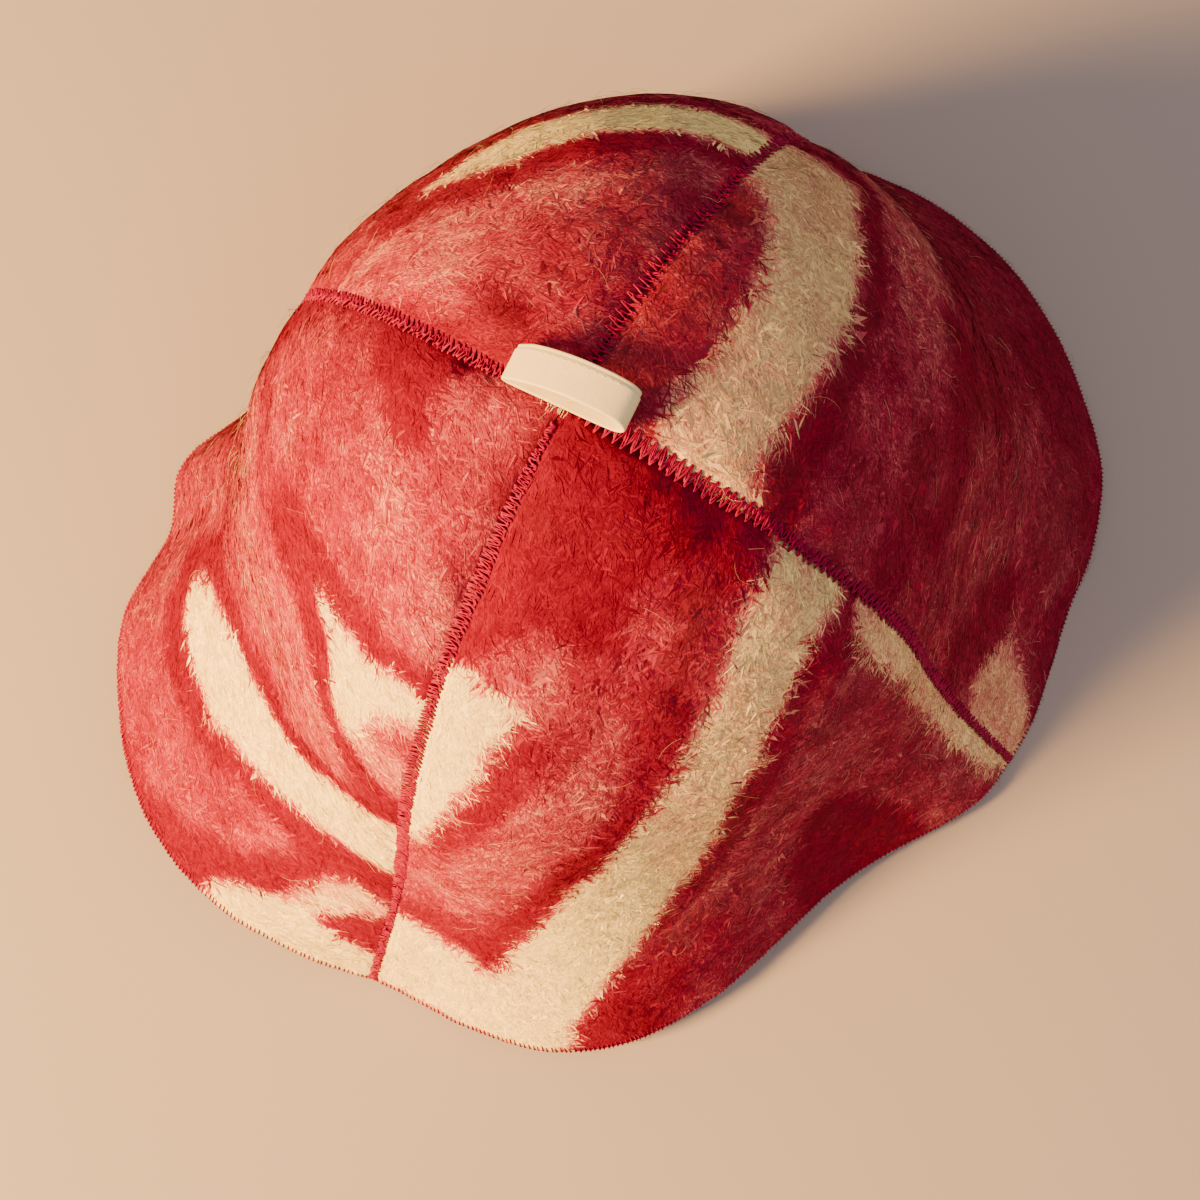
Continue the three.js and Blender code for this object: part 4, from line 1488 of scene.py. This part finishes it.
    def build_threads(self) -> bpy.types.Object:
        """Makes the tape's edge stitches and the frayed ends at its front.

        Returns:
            The threads' object.
        """
        rng = np.random.default_rng(self.seed)
        course = self._course(720)
        high = course[:, 1] > 4.2
        out, up = course[high, 0], course[high, 1]
        order = np.argsort(out)
        out, up = out[order], up[order]
        starts = np.arange(-8.6, 10.5, self.stitch_pitch)
        share = np.linspace(0, 1, 5)
        along = starts[:, None] + self.stitch_length * share
        height = np.interp(along, out, up) + self.thickness / 2
        height = height + np.array([-0.12, 0.05, 0.07, 0.05, -0.12])
        back = (self.step_at - self.groove_off) * self.tape / 2 + self._lean(height)
        paths = self._to_frame(along, back, height)
        ups = np.zeros_like(paths)
        ups[..., 2] = 1.0
        points, faces = strands(paths, ups, np.full((len(starts), 3), self.stitch_radius), 5)
        count = self.frayed_ends
        root = rng.uniform(-5.5, 1.5, count)
        long = rng.uniform(0.9, 2.4, count)
        drift = rng.uniform(-0.9, 0.5, count)
        t = np.linspace(0, 1, 5)
        wave = rng.uniform(-0.25, 0.25, (count, 1)) * np.sin(t * math.pi * 1.6)
        x = root[:, None] + drift[:, None] * t + wave
        y = -self.tape / 2 - self.skew / 2 + 0.3 - long[:, None] * t
        z = 0.35 + rng.uniform(0.1, 0.7, (count, 1)) * t - 0.5 * t**2
        ends = self._to_frame(x, y + 0 * z, z)
        ups = np.zeros_like(ends)
        ups[..., 2] = 1.0
        more, more_faces = strands(ends, ups, np.full((count, 3), self.frayed_radius), 4)
        faces = np.concatenate([faces, more_faces + len(points)])
        mesh = mesh_of("ribbon_threads", np.concatenate([points, more]), faces)
        smooth_shaded(mesh)
        return place(mesh, "ribbon_threads")


# ---------------------------------------------------------------------------------- shader parts
def group(name: str, inputs: dict[str, tuple[str, float]], outputs: dict[str, str]) -> bpy.types.NodeTree:
    """Starts a shader node group with named sockets.

    Args:
        name: The group's name.
        inputs: Each input's socket type and starting value.
        outputs: Each output's socket type.

    Returns:
        The empty group, with its input and output nodes.
    """
    tree = bpy.data.node_groups.new(name, "ShaderNodeTree")
    for label, (kind, value) in inputs.items():
        socket = tree.interface.new_socket(label, in_out="INPUT", socket_type=kind)
        if kind == "NodeSocketFloat":
            socket.default_value = value
    for label, kind in outputs.items():
        tree.interface.new_socket(label, in_out="OUTPUT", socket_type=kind)
    tree.nodes.new("NodeGroupInput")
    tree.nodes.new("NodeGroupOutput")
    return tree


def math_node(tree: bpy.types.NodeTree, operation: str, *values: object) -> bpy.types.NodeSocket:
    """Adds a Math node.

    Args:
        tree: The node tree.
        operation: The node's operation.
        values: Numbers or sockets.

    Returns:
        The node's output.
    """
    node = tree.nodes.new("ShaderNodeMath")
    node.operation = operation
    for index, value in enumerate(values):
        if isinstance(value, (int, float)):
            node.inputs[index].default_value = value
        else:
            tree.links.new(value, node.inputs[index])
    return node.outputs[0]


def ease_node(tree: bpy.types.NodeTree, value: bpy.types.NodeSocket, low: float, high: float,
              to_low: float = 0.0, to_high: float = 1.0) -> bpy.types.NodeSocket:
    """Adds a smooth Map Range node.

    Args:
        tree: The node tree.
        value: The socket to ease.
        low: Where the ease starts.
        high: Where it ends.
        to_low: What it gives at low.
        to_high: What it gives at high.

    Returns:
        The node's output.
    """
    node = tree.nodes.new("ShaderNodeMapRange")
    node.interpolation_type = "SMOOTHSTEP"
    tree.links.new(value, node.inputs["Value"])
    for label, number in (("From Min", low), ("From Max", high), ("To Min", to_low), ("To Max", to_high)):
        node.inputs[label].default_value = number
    return node.outputs["Result"]


def mix_node(tree: bpy.types.NodeTree, share: object, a: object, b: object,
             blend: str = "MIX") -> bpy.types.NodeSocket:
    """Adds a colour Mix node.

    Args:
        tree: The node tree.
        share: A number or socket.
        a: A colour or socket.
        b: A colour or socket.
        blend: How they mix.

    Returns:
        The node's output.
    """
    node = tree.nodes.new("ShaderNodeMix")
    node.data_type = "RGBA"
    node.blend_type = blend
    for socket, value in ((node.inputs[0], share), (node.inputs[6], a), (node.inputs[7], b)):
        if isinstance(value, bpy.types.NodeSocket):
            tree.links.new(value, socket)
        elif isinstance(value, (int, float)):
            socket.default_value = value
        else:
            socket.default_value = (*value, 1.0)
    return node.outputs[2]


def fibre_streaks() -> bpy.types.NodeTree:
    """Node group: wavy streaks along the second coordinate, as brushed fibres make.

    Returns:
        The group.
    """
    name = "fibre_streaks"
    if name in bpy.data.node_groups:
        return bpy.data.node_groups[name]
    tree = group(name, {"Vector": ("NodeSocketVector", 0.0), "Scale": ("NodeSocketFloat", 2.0),
                        "Stretch": ("NodeSocketFloat", 0.2)},
                 {"Streak": "NodeSocketFloat"})
    source, sink = tree.nodes["Group Input"], tree.nodes["Group Output"]
    stir = tree.nodes.new("ShaderNodeTexNoise")
    stir.inputs["Scale"].default_value = 0.35
    stir.inputs["Detail"].default_value = 1.0
    tree.links.new(source.outputs["Vector"], stir.inputs["Vector"])
    centred = tree.nodes.new("ShaderNodeVectorMath")
    centred.operation = "SUBTRACT"
    tree.links.new(stir.outputs["Color"], centred.inputs[0])
    centred.inputs[1].default_value = (0.5, 0.5, 0.5)
    swing = tree.nodes.new("ShaderNodeVectorMath")
    swing.operation = "MULTIPLY_ADD"
    tree.links.new(centred.outputs[0], swing.inputs[0])
    swing.inputs[1].default_value = (2.4, 2.4, 0.0)
    tree.links.new(source.outputs["Vector"], swing.inputs[2])
    parts = tree.nodes.new("ShaderNodeSeparateXYZ")
    tree.links.new(swing.outputs[0], parts.inputs[0])
    joined = tree.nodes.new("ShaderNodeCombineXYZ")
    tree.links.new(parts.outputs[0], joined.inputs[0])
    tree.links.new(math_node(tree, "MULTIPLY", parts.outputs[1], source.outputs["Stretch"]), joined.inputs[1])
    tree.links.new(parts.outputs[2], joined.inputs[2])
    noise = tree.nodes.new("ShaderNodeTexNoise")
    noise.inputs["Detail"].default_value = 4.0
    noise.inputs["Roughness"].default_value = 0.65
    tree.links.new(joined.outputs[0], noise.inputs["Vector"])
    tree.links.new(source.outputs["Scale"], noise.inputs["Scale"])
    tree.links.new(noise.outputs["Fac"], sink.inputs["Streak"])
    return tree


def blend_dyes(first: tuple[float, float, float], second: tuple[float, float, float],
               share: float) -> tuple[float, ...]:
    """Colour of two wools carded together: light passes through both, so their colours multiply."""
    return tuple(a ** (1 - share) * b**share for a, b in zip(first, second))


def dye_ramp(tree: bpy.types.NodeTree, share: object, first: tuple, second: tuple) -> bpy.types.NodeSocket:
    """Adds a colour ramp between two wools carded together.

    Args:
        tree: The node tree.
        share: The second wool's share.
        first: A colour.
        second: A colour.

    Returns:
        The ramp's output.
    """
    node = tree.nodes.new("ShaderNodeValToRGB")
    stops = node.color_ramp.elements
    stops[0].position, stops[0].color = 0.0, (*first, 1.0)
    stops[1].position, stops[1].color = 1.0, (*second, 1.0)
    for at in (0.2, 0.4, 0.6, 0.8, 0.92):
        stops.new(at).color = (*blend_dyes(first, second, at), 1.0)
    tree.links.new(share, node.inputs[0])
    return node.outputs[0]


def dyed_wool(red: tuple, cream: tuple, wine: tuple, pale_wine: tuple) -> bpy.types.NodeTree:
    """Node group: the colour of wool from its cream share, wine share and lightness.

    Args:
        red: Crimson wool.
        cream: Undyed wool.
        wine: Dark wool.
        pale_wine: Undyed wool carded with dark wool.

    Returns:
        The group.
    """
    name = "dyed_wool"
    if name in bpy.data.node_groups:
        return bpy.data.node_groups[name]
    tree = group(name, {"Cream": ("NodeSocketFloat", 0.5), "Wine": ("NodeSocketFloat", 0.0),
                        "Light": ("NodeSocketFloat", 0.5)},
                 {"Color": "NodeSocketColor"})
    source, sink = tree.nodes["Group Input"], tree.nodes["Group Output"]
    bright = dye_ramp(tree, source.outputs["Cream"], red, cream)
    deep = dye_ramp(tree, source.outputs["Cream"], wine, pale_wine)
    both = mix_node(tree, source.outputs["Wine"], bright, deep)
    shade = ease_node(tree, source.outputs["Light"], 0.0, 1.0, 0.72, 1.26)
    value = tree.nodes.new("ShaderNodeCombineXYZ")
    for index in range(3):
        tree.links.new(shade, value.inputs[index])
    tree.links.new(mix_node(tree, 1.0, both, value.outputs[0], "MULTIPLY"), sink.inputs["Color"])
    return tree


def new_material(name: str) -> tuple[bpy.types.Material, bpy.types.NodeTree, bpy.types.Node]:
    """Starts a node material.

    Args:
        name: The material's name.

    Returns:
        The material, its node tree and its Principled node.
    """
    material = bpy.data.materials.new(name)
    material.use_nodes = True
    tree = material.node_tree
    return material, tree, tree.nodes["Principled BSDF"]


@dataclass(frozen=True)
class WoolFinish:
    """Raised wool blanket cloth, cream, crimson and wine."""

    red: tuple[float, float, float] = (0.18, 0.0026, 0.018)
    cream: tuple[float, float, float] = (0.92, 0.77, 0.29)
    wine: tuple[float, float, float] = (0.15, 0.010, 0.019)
    pale_wine: tuple[float, float, float] = (0.42, 0.20, 0.14)
    roughness: float = 0.92
    sheen: float = 0.03
    sheen_tint: tuple[float, float, float] = (1.0, 0.3, 0.25)
    streaks: tuple[float, float] = (2.9, 0.36)
    patches: tuple[float, float] = (0.55, 0.45)
    streak_gain: float = 2.6
    patch_gain: float = 1.4
    cream_stir: tuple[float, float] = (2.2, 0.06)
    wine_stir: float = -2.0
    # Painted shade: how the fine streaks map to lightness, darker where they sink and lighter on their
    # crests.
    sunken_streak_shade: tuple[float, float, float, float] = (0.3, 0.7, 0.0, 0.75)
    bump: tuple[float, float] = (0.55, 0.0004)

    def _attribute(self, tree: bpy.types.NodeTree, name: str) -> bpy.types.Node:
        """Adds a node that reads an attribute."""
        node = tree.nodes.new("ShaderNodeAttribute")
        node.attribute_name = name
        return node

    def _streaks(self, tree: bpy.types.NodeTree, form: tuple[float, float],
                 where: bpy.types.NodeSocket) -> bpy.types.NodeSocket:
        """Places the fibre streaks in a material.

        Args:
            tree: The material's node tree.
            form: Scale, and stretch along the nap.
            where: Places on the flat cloth.

        Returns:
            The streaks' output.
        """
        node = tree.nodes.new("ShaderNodeGroup")
        node.node_tree = fibre_streaks()
        node.inputs["Scale"].default_value, node.inputs["Stretch"].default_value = form
        tree.links.new(where, node.inputs["Vector"])
        return node.outputs[0]

    def _within_one(self, tree: bpy.types.NodeTree, value: bpy.types.NodeSocket) -> bpy.types.NodeSocket:
        """Keeps a share from 0 to 1 and returns the output."""
        return math_node(tree, "MAXIMUM", math_node(tree, "MINIMUM", value, 1.0), 0.0)

    def _shader(self, shader: bpy.types.Node) -> None:
        """Sets what is the same all over."""
        shader.inputs["Roughness"].default_value = self.roughness
        shader.inputs["Specular IOR Level"].default_value = 0.0
        shader.inputs["Sheen Weight"].default_value = self.sheen
        shader.inputs["Sheen Roughness"].default_value = 0.45
        shader.inputs["Sheen Tint"].default_value = (*self.sheen_tint, 1.0)

    def material(self) -> bpy.types.Material:
        """The cloth under the nap: mottled by fine streaks of both wools, and darker where the streaks sink,
        as painted shade.
        """
        if "blanket_wool" in bpy.data.materials:
            return bpy.data.materials["blanket_wool"]
        material, tree, shader = new_material("blanket_wool")
        self._shader(shader)
        dye = self._attribute(tree, "dye")
        nap = self._attribute(tree, "nap")
        share = tree.nodes.new("ShaderNodeSeparateXYZ")
        tree.links.new(dye.outputs["Vector"], share.inputs[0])
        fine = self._streaks(tree, self.streaks, nap.outputs["Vector"])
        coarse = self._streaks(tree, self.patches, nap.outputs["Vector"])
        streak = math_node(tree, "MULTIPLY", math_node(tree, "SUBTRACT", fine, 0.5), self.streak_gain)
        patch = math_node(tree, "MULTIPLY", math_node(tree, "SUBTRACT", coarse, 0.5), self.patch_gain)
        stir = math_node(tree, "ADD", streak, patch)
        coloured = math_node(tree, "SUBTRACT", 1.0, share.outputs[0])
        room = math_node(tree, "MULTIPLY", share.outputs[0], coloured)
        amount = math_node(tree, "MULTIPLY_ADD", room, *self.cream_stir)
        cream = self._within_one(tree, math_node(tree, "MULTIPLY_ADD", stir, amount, share.outputs[0]))
        rest = math_node(tree, "SUBTRACT", 1.0, share.outputs[1])
        mixed = math_node(tree, "MULTIPLY", share.outputs[1], rest)
        wine_room = math_node(tree, "MULTIPLY", mixed, self.wine_stir)
        wine = self._within_one(tree, math_node(tree, "MULTIPLY_ADD", stir, wine_room, share.outputs[1]))
        colour = tree.nodes.new("ShaderNodeGroup")
        colour.node_tree = dyed_wool(self.red, self.cream, self.wine, self.pale_wine)
        tree.links.new(cream, colour.inputs["Cream"])
        tree.links.new(wine, colour.inputs["Wine"])
        # Painted shade: the fine streaks that make the bump also darken the cloth where they sink.
        tree.links.new(ease_node(tree, fine, *self.sunken_streak_shade), colour.inputs["Light"])
        tree.links.new(colour.outputs[0], shader.inputs["Base Color"])
        bump = tree.nodes.new("ShaderNodeBump")
        bump.inputs["Strength"].default_value, bump.inputs["Distance"].default_value = self.bump
        tree.links.new(fine, bump.inputs["Height"])
        tree.links.new(bump.outputs[0], shader.inputs["Normal"])
        return material

    def fibre_material(self) -> bpy.types.Material:
        """The raised fibres, each with its own dye."""
        if "raised_fibres" in bpy.data.materials:
            return bpy.data.materials["raised_fibres"]
        material, tree, shader = new_material("raised_fibres")
        self._shader(shader)
        dye = self._attribute(tree, "dye")
        share = tree.nodes.new("ShaderNodeSeparateXYZ")
        tree.links.new(dye.outputs["Vector"], share.inputs[0])
        colour = tree.nodes.new("ShaderNodeGroup")
        colour.node_tree = dyed_wool(self.red, self.cream, self.wine, self.pale_wine)
        for index, label in enumerate(("Cream", "Wine", "Light")):
            tree.links.new(share.outputs[index], colour.inputs[label])
        tree.links.new(colour.outputs[0], shader.inputs["Base Color"])
        facing = self._attribute(tree, "facing")
        turned = tree.nodes.new("ShaderNodeVectorTransform")
        turned.vector_type = "NORMAL"
        turned.convert_from = "OBJECT"
        turned.convert_to = "WORLD"
        tree.links.new(facing.outputs["Vector"], turned.inputs[0])
        tree.links.new(turned.outputs[0], shader.inputs["Normal"])
        return material


@dataclass(frozen=True)
class ThreadFinish:
    """Crimson sewing thread with a slight gloss."""

    name: str = "crimson_thread"
    colour: tuple[float, float, float] = (0.36, 0.002, 0.055)
    # A darker copy of the thread's colour, used as painted shade.
    dark: tuple[float, float, float] = (0.22, 0.001, 0.03)
    roughness: float = 0.5
    gloss: float = 0.12
    spot_scale: float = 900.0
    bump: tuple[float, float] = (0.4, 0.0002)

    def material(self) -> bpy.types.Material:
        """The thread, a little uneven in its dye, and darker where its bump noise sinks, as painted shade in
        small hollows.
        """
        material, tree, shader = new_material(self.name)
        shader.inputs["Roughness"].default_value = self.roughness
        shader.inputs["Specular IOR Level"].default_value = self.gloss
        spots = tree.nodes.new("ShaderNodeTexCoord")
        noise = tree.nodes.new("ShaderNodeTexNoise")
        noise.inputs["Scale"].default_value = self.spot_scale
        noise.inputs["Detail"].default_value = 2.0
        tree.links.new(spots.outputs["Object"], noise.inputs["Vector"])
        share = ease_node(tree, noise.outputs["Fac"], 0.35, 0.65)
        # Painted shade: the dark tone goes where the bump noise is low, together with uneven dye.
        tree.links.new(mix_node(tree, share, self.dark, self.colour), shader.inputs["Base Color"])
        bump = tree.nodes.new("ShaderNodeBump")
        bump.inputs["Strength"].default_value, bump.inputs["Distance"].default_value = self.bump
        tree.links.new(noise.outputs["Fac"], bump.inputs["Height"])
        tree.links.new(bump.outputs[0], shader.inputs["Normal"])
        return material


@dataclass(frozen=True)
class RibbonFinish:
    """Ivory satin tape."""

    colour: tuple[float, float, float] = (0.90, 0.79, 0.40)
    shadow: tuple[float, float, float] = (0.78, 0.66, 0.30)
    roughness: float = 0.5
    sheen: float = 0.1
    grain_turn: float = 60.0
    grain_stretch: float = 0.35
    grain_scale: float = 5200.0
    patch_scale: float = 260.0
    bump: tuple[float, float] = (0.6, 0.0001)

    def material(self) -> bpy.types.Material:
        """The tape, with a fine slanting grain."""
        material, tree, shader = new_material("ivory_ribbon")
        shader.inputs["Roughness"].default_value = self.roughness
        shader.inputs["Sheen Weight"].default_value = self.sheen
        spots = tree.nodes.new("ShaderNodeTexCoord")
        turn = tree.nodes.new("ShaderNodeMapping")
        turn.inputs["Rotation"].default_value = (0, 0, math.radians(self.grain_turn))
        turn.inputs["Scale"].default_value = (1.0, self.grain_stretch, 1.0)
        tree.links.new(spots.outputs["Object"], turn.inputs["Vector"])
        grain = tree.nodes.new("ShaderNodeTexNoise")
        grain.inputs["Scale"].default_value = self.grain_scale
        grain.inputs["Detail"].default_value = 2.0
        tree.links.new(turn.outputs[0], grain.inputs["Vector"])
        patch = tree.nodes.new("ShaderNodeTexNoise")
        patch.inputs["Scale"].default_value = self.patch_scale
        tree.links.new(spots.outputs["Object"], patch.inputs["Vector"])
        patches = math_node(tree, "MULTIPLY", patch.outputs["Fac"], 0.4)
        share = math_node(tree, "MULTIPLY_ADD", grain.outputs["Fac"], 0.7, patches)
        tree.links.new(mix_node(tree, ease_node(tree, share, 0.35, 0.75), self.shadow, self.colour),
                       shader.inputs["Base Color"])
        bump = tree.nodes.new("ShaderNodeBump")
        bump.inputs["Strength"].default_value, bump.inputs["Distance"].default_value = self.bump
        tree.links.new(grain.outputs["Fac"], bump.inputs["Height"])
        tree.links.new(bump.outputs[0], shader.inputs["Normal"])
        return material


# ---------------------------------------------------------------------------------------- studio
@dataclass(frozen=True)
class SoftLamp:
    """A square soft light that faces the hat."""

    name: str
    spot: tuple[float, float, float]
    size: float
    power: float
    colour: tuple[float, float, float]
    aim: tuple[float, float, float] = (0.0, 0.0, 0.08)

    def build(self) -> None:
        """Hangs the lamp."""
        data = bpy.data.lights.new(self.name, "AREA")
        data.size = self.size
        data.energy = self.power
        data.color = self.colour
        light = bpy.data.objects.new(self.name, data)
        light.location = self.spot
        way = Vector(self.aim) - Vector(self.spot)
        light.rotation_euler = way.to_track_quat("-Z", "Y").to_euler()
        bpy.context.scene.collection.objects.link(light)


@dataclass
class Studio:
    """Floor, lights and camera."""

    floor_radius: float = 4.0
    floor_colour: tuple[float, float, float] = (0.40, 0.36, 0.32)
    camera_azimuth: float = 1.0
    camera_elevation: float = 81.0
    camera_roll: float = -16.5
    camera_distance: float = 0.460
    target: tuple[float, float, float] = (-0.005, -0.0203, 0.085)
    lens: float = 57.0
    lamps: tuple[SoftLamp, ...] = (
        SoftLamp("key_light", (-1.01, -0.13, 0.70), 0.35, 84.0, (1.0, 0.52, 0.16)),
        SoftLamp("fill_light", (0.4, -0.7, 1.2), 1.0, 3.5, (1.0, 0.85, 0.75)),
    )
    sky_colour: tuple[float, float, float] = (1.0, 0.85, 0.92)
    sky_strength: float = 0.56

    def build_floor(self) -> None:
        """Lays a plain pale floor under the hat."""
        bm = bmesh.new()
        bmesh.ops.create_circle(bm, cap_ends=True, segments=96, radius=self.floor_radius)
        mesh = bpy.data.meshes.new("floor")
        bm.to_mesh(mesh)
        bm.free()
        floor = place(mesh, "floor")
        material, tree, shader = new_material("pale_floor")
        shader.inputs["Roughness"].default_value = 0.9
        shader.inputs["Specular IOR Level"].default_value = 0.1
        spots = tree.nodes.new("ShaderNodeTexCoord")
        noise = tree.nodes.new("ShaderNodeTexNoise")
        noise.inputs["Scale"].default_value = 3.0
        tree.links.new(spots.outputs["Object"], noise.inputs["Vector"])
        dim = tuple(0.96 * part for part in self.floor_colour)
        shade = mix_node(tree, noise.outputs["Fac"], dim, self.floor_colour)
        tree.links.new(shade, shader.inputs["Base Color"])
        mesh.materials.append(material)

    def build_lights(self) -> None:
        """Sets a warm soft key from the hat's left, a weak fill and an even sky."""
        for lamp in self.lamps:
            lamp.build()
        world = bpy.data.worlds.new("soft_sky")
        world.use_nodes = True
        sky = world.node_tree.nodes["Background"]
        sky.inputs["Color"].default_value = (*self.sky_colour, 1.0)
        sky.inputs["Strength"].default_value = self.sky_strength
        bpy.context.scene.world = world

    def build_camera(self) -> None:
        """Places the camera above and before the hat, turned a little about its own axis."""
        azimuth = math.radians(self.camera_azimuth)
        elevation = math.radians(self.camera_elevation)
        back = Vector((math.cos(elevation) * math.sin(azimuth), -math.cos(elevation) * math.cos(azimuth),
                       math.sin(elevation)))
        right = Vector((math.cos(azimuth), math.sin(azimuth), 0.0))
        up = back.cross(right)
        roll = Matrix.Rotation(math.radians(self.camera_roll), 3, "Z")
        turned = Matrix((right, up, back)).transposed() @ roll
        data = bpy.data.cameras.new("camera")
        data.lens = self.lens
        data.sensor_width = 36.0
        camera = bpy.data.objects.new("camera", data)
        spot = Vector(self.target) + back * self.camera_distance
        camera.matrix_world = Matrix.Translation(spot) @ turned.to_4x4()
        bpy.context.scene.collection.objects.link(camera)
        bpy.context.scene.camera = camera


# ------------------------------------------------------------------------------------------ main
GORE_NODES = ("gore_left", "gore_front", "gore_right", "gore_back")
HAT = HatForm()


def main() -> None:
    """Builds and dresses the hat, then the studio."""
    logging.basicConfig(level=logging.INFO, format="%(message)s")
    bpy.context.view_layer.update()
    wool = WoolFinish()
    left = Gore("gore_left", 134, 225, 94, Dye.ROSE, LEFT_BANDS, 1)
    front = Gore("gore_front", 225, 315, -11, Dye.MADDER, FRONT_BANDS, 2)
    right = Gore("gore_right", 315, 405, -70, Dye.DUSK, RIGHT_BANDS, 3)
    back = Gore("gore_back", 45, 134, -115, Dye.ROSE, BACK_BANDS, 4)
    gores = (left, front, right, back)
    for gore in gores:
        cloth = gore.build()
        gore.dress(cloth, wool)
        nap = Nap(gore).build()
        nap.data.materials.append(wool.fibre_material())
        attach(nap, "root")
    thread = ThreadFinish().material()
    wide = ((0.0, 2.8), (0.1, 3.4), (0.3, 3.4), (0.4, 4.0), (0.7, 4.0), (0.78, 2.6), (1.0, 3.0))
    even = ((0.0, 3.2), (0.1, 4.2), (0.7, 3.8), (1.0, 2.8))
    ends = ((0.0, 3.0), (0.3, 2.8), (0.36, 0.0), (0.72, 0.0), (0.76, 2.0), (1.0, 2.4))
    inner = ((0.0, 2.4), (0.5, 2.0), (1.0, 2.0))
    seams = (
        SeamStitching("zigzag_left_front", left, front, wide, ends, 1.2, 1, radius=0.21),
        SeamStitching("zigzag_front_right", front, right, even, inner, 2.15, 2, shift=0.5, phases=(0.0, 0.1)),
        SeamStitching("zigzag_right_back", right, back, even, inner, 2.1, 3),
        SeamStitching("zigzag_back_left", back, left, even, inner, 1.6, 4),
    )
    for seam in seams:
        stitches = seam.build()
        stitches.data.materials.append(thread)
        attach(stitches, "root")
    hem = HemStitching(gores).build()
    hem.data.materials.append(thread)
    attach(hem, "root")
    loop = HangLoop()
    ribbon = loop.build()
    ribbon.data.materials.append(RibbonFinish().material())
    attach(ribbon, "root")
    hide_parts(loop.node)
    threads = loop.build_threads()
    threads.data.materials.append(ribbon.data.materials[0])
    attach(threads, "root")
    studio = Studio()
    studio.build_floor()
    studio.build_lights()
    studio.build_camera()


if __name__ == "__main__":
    main()
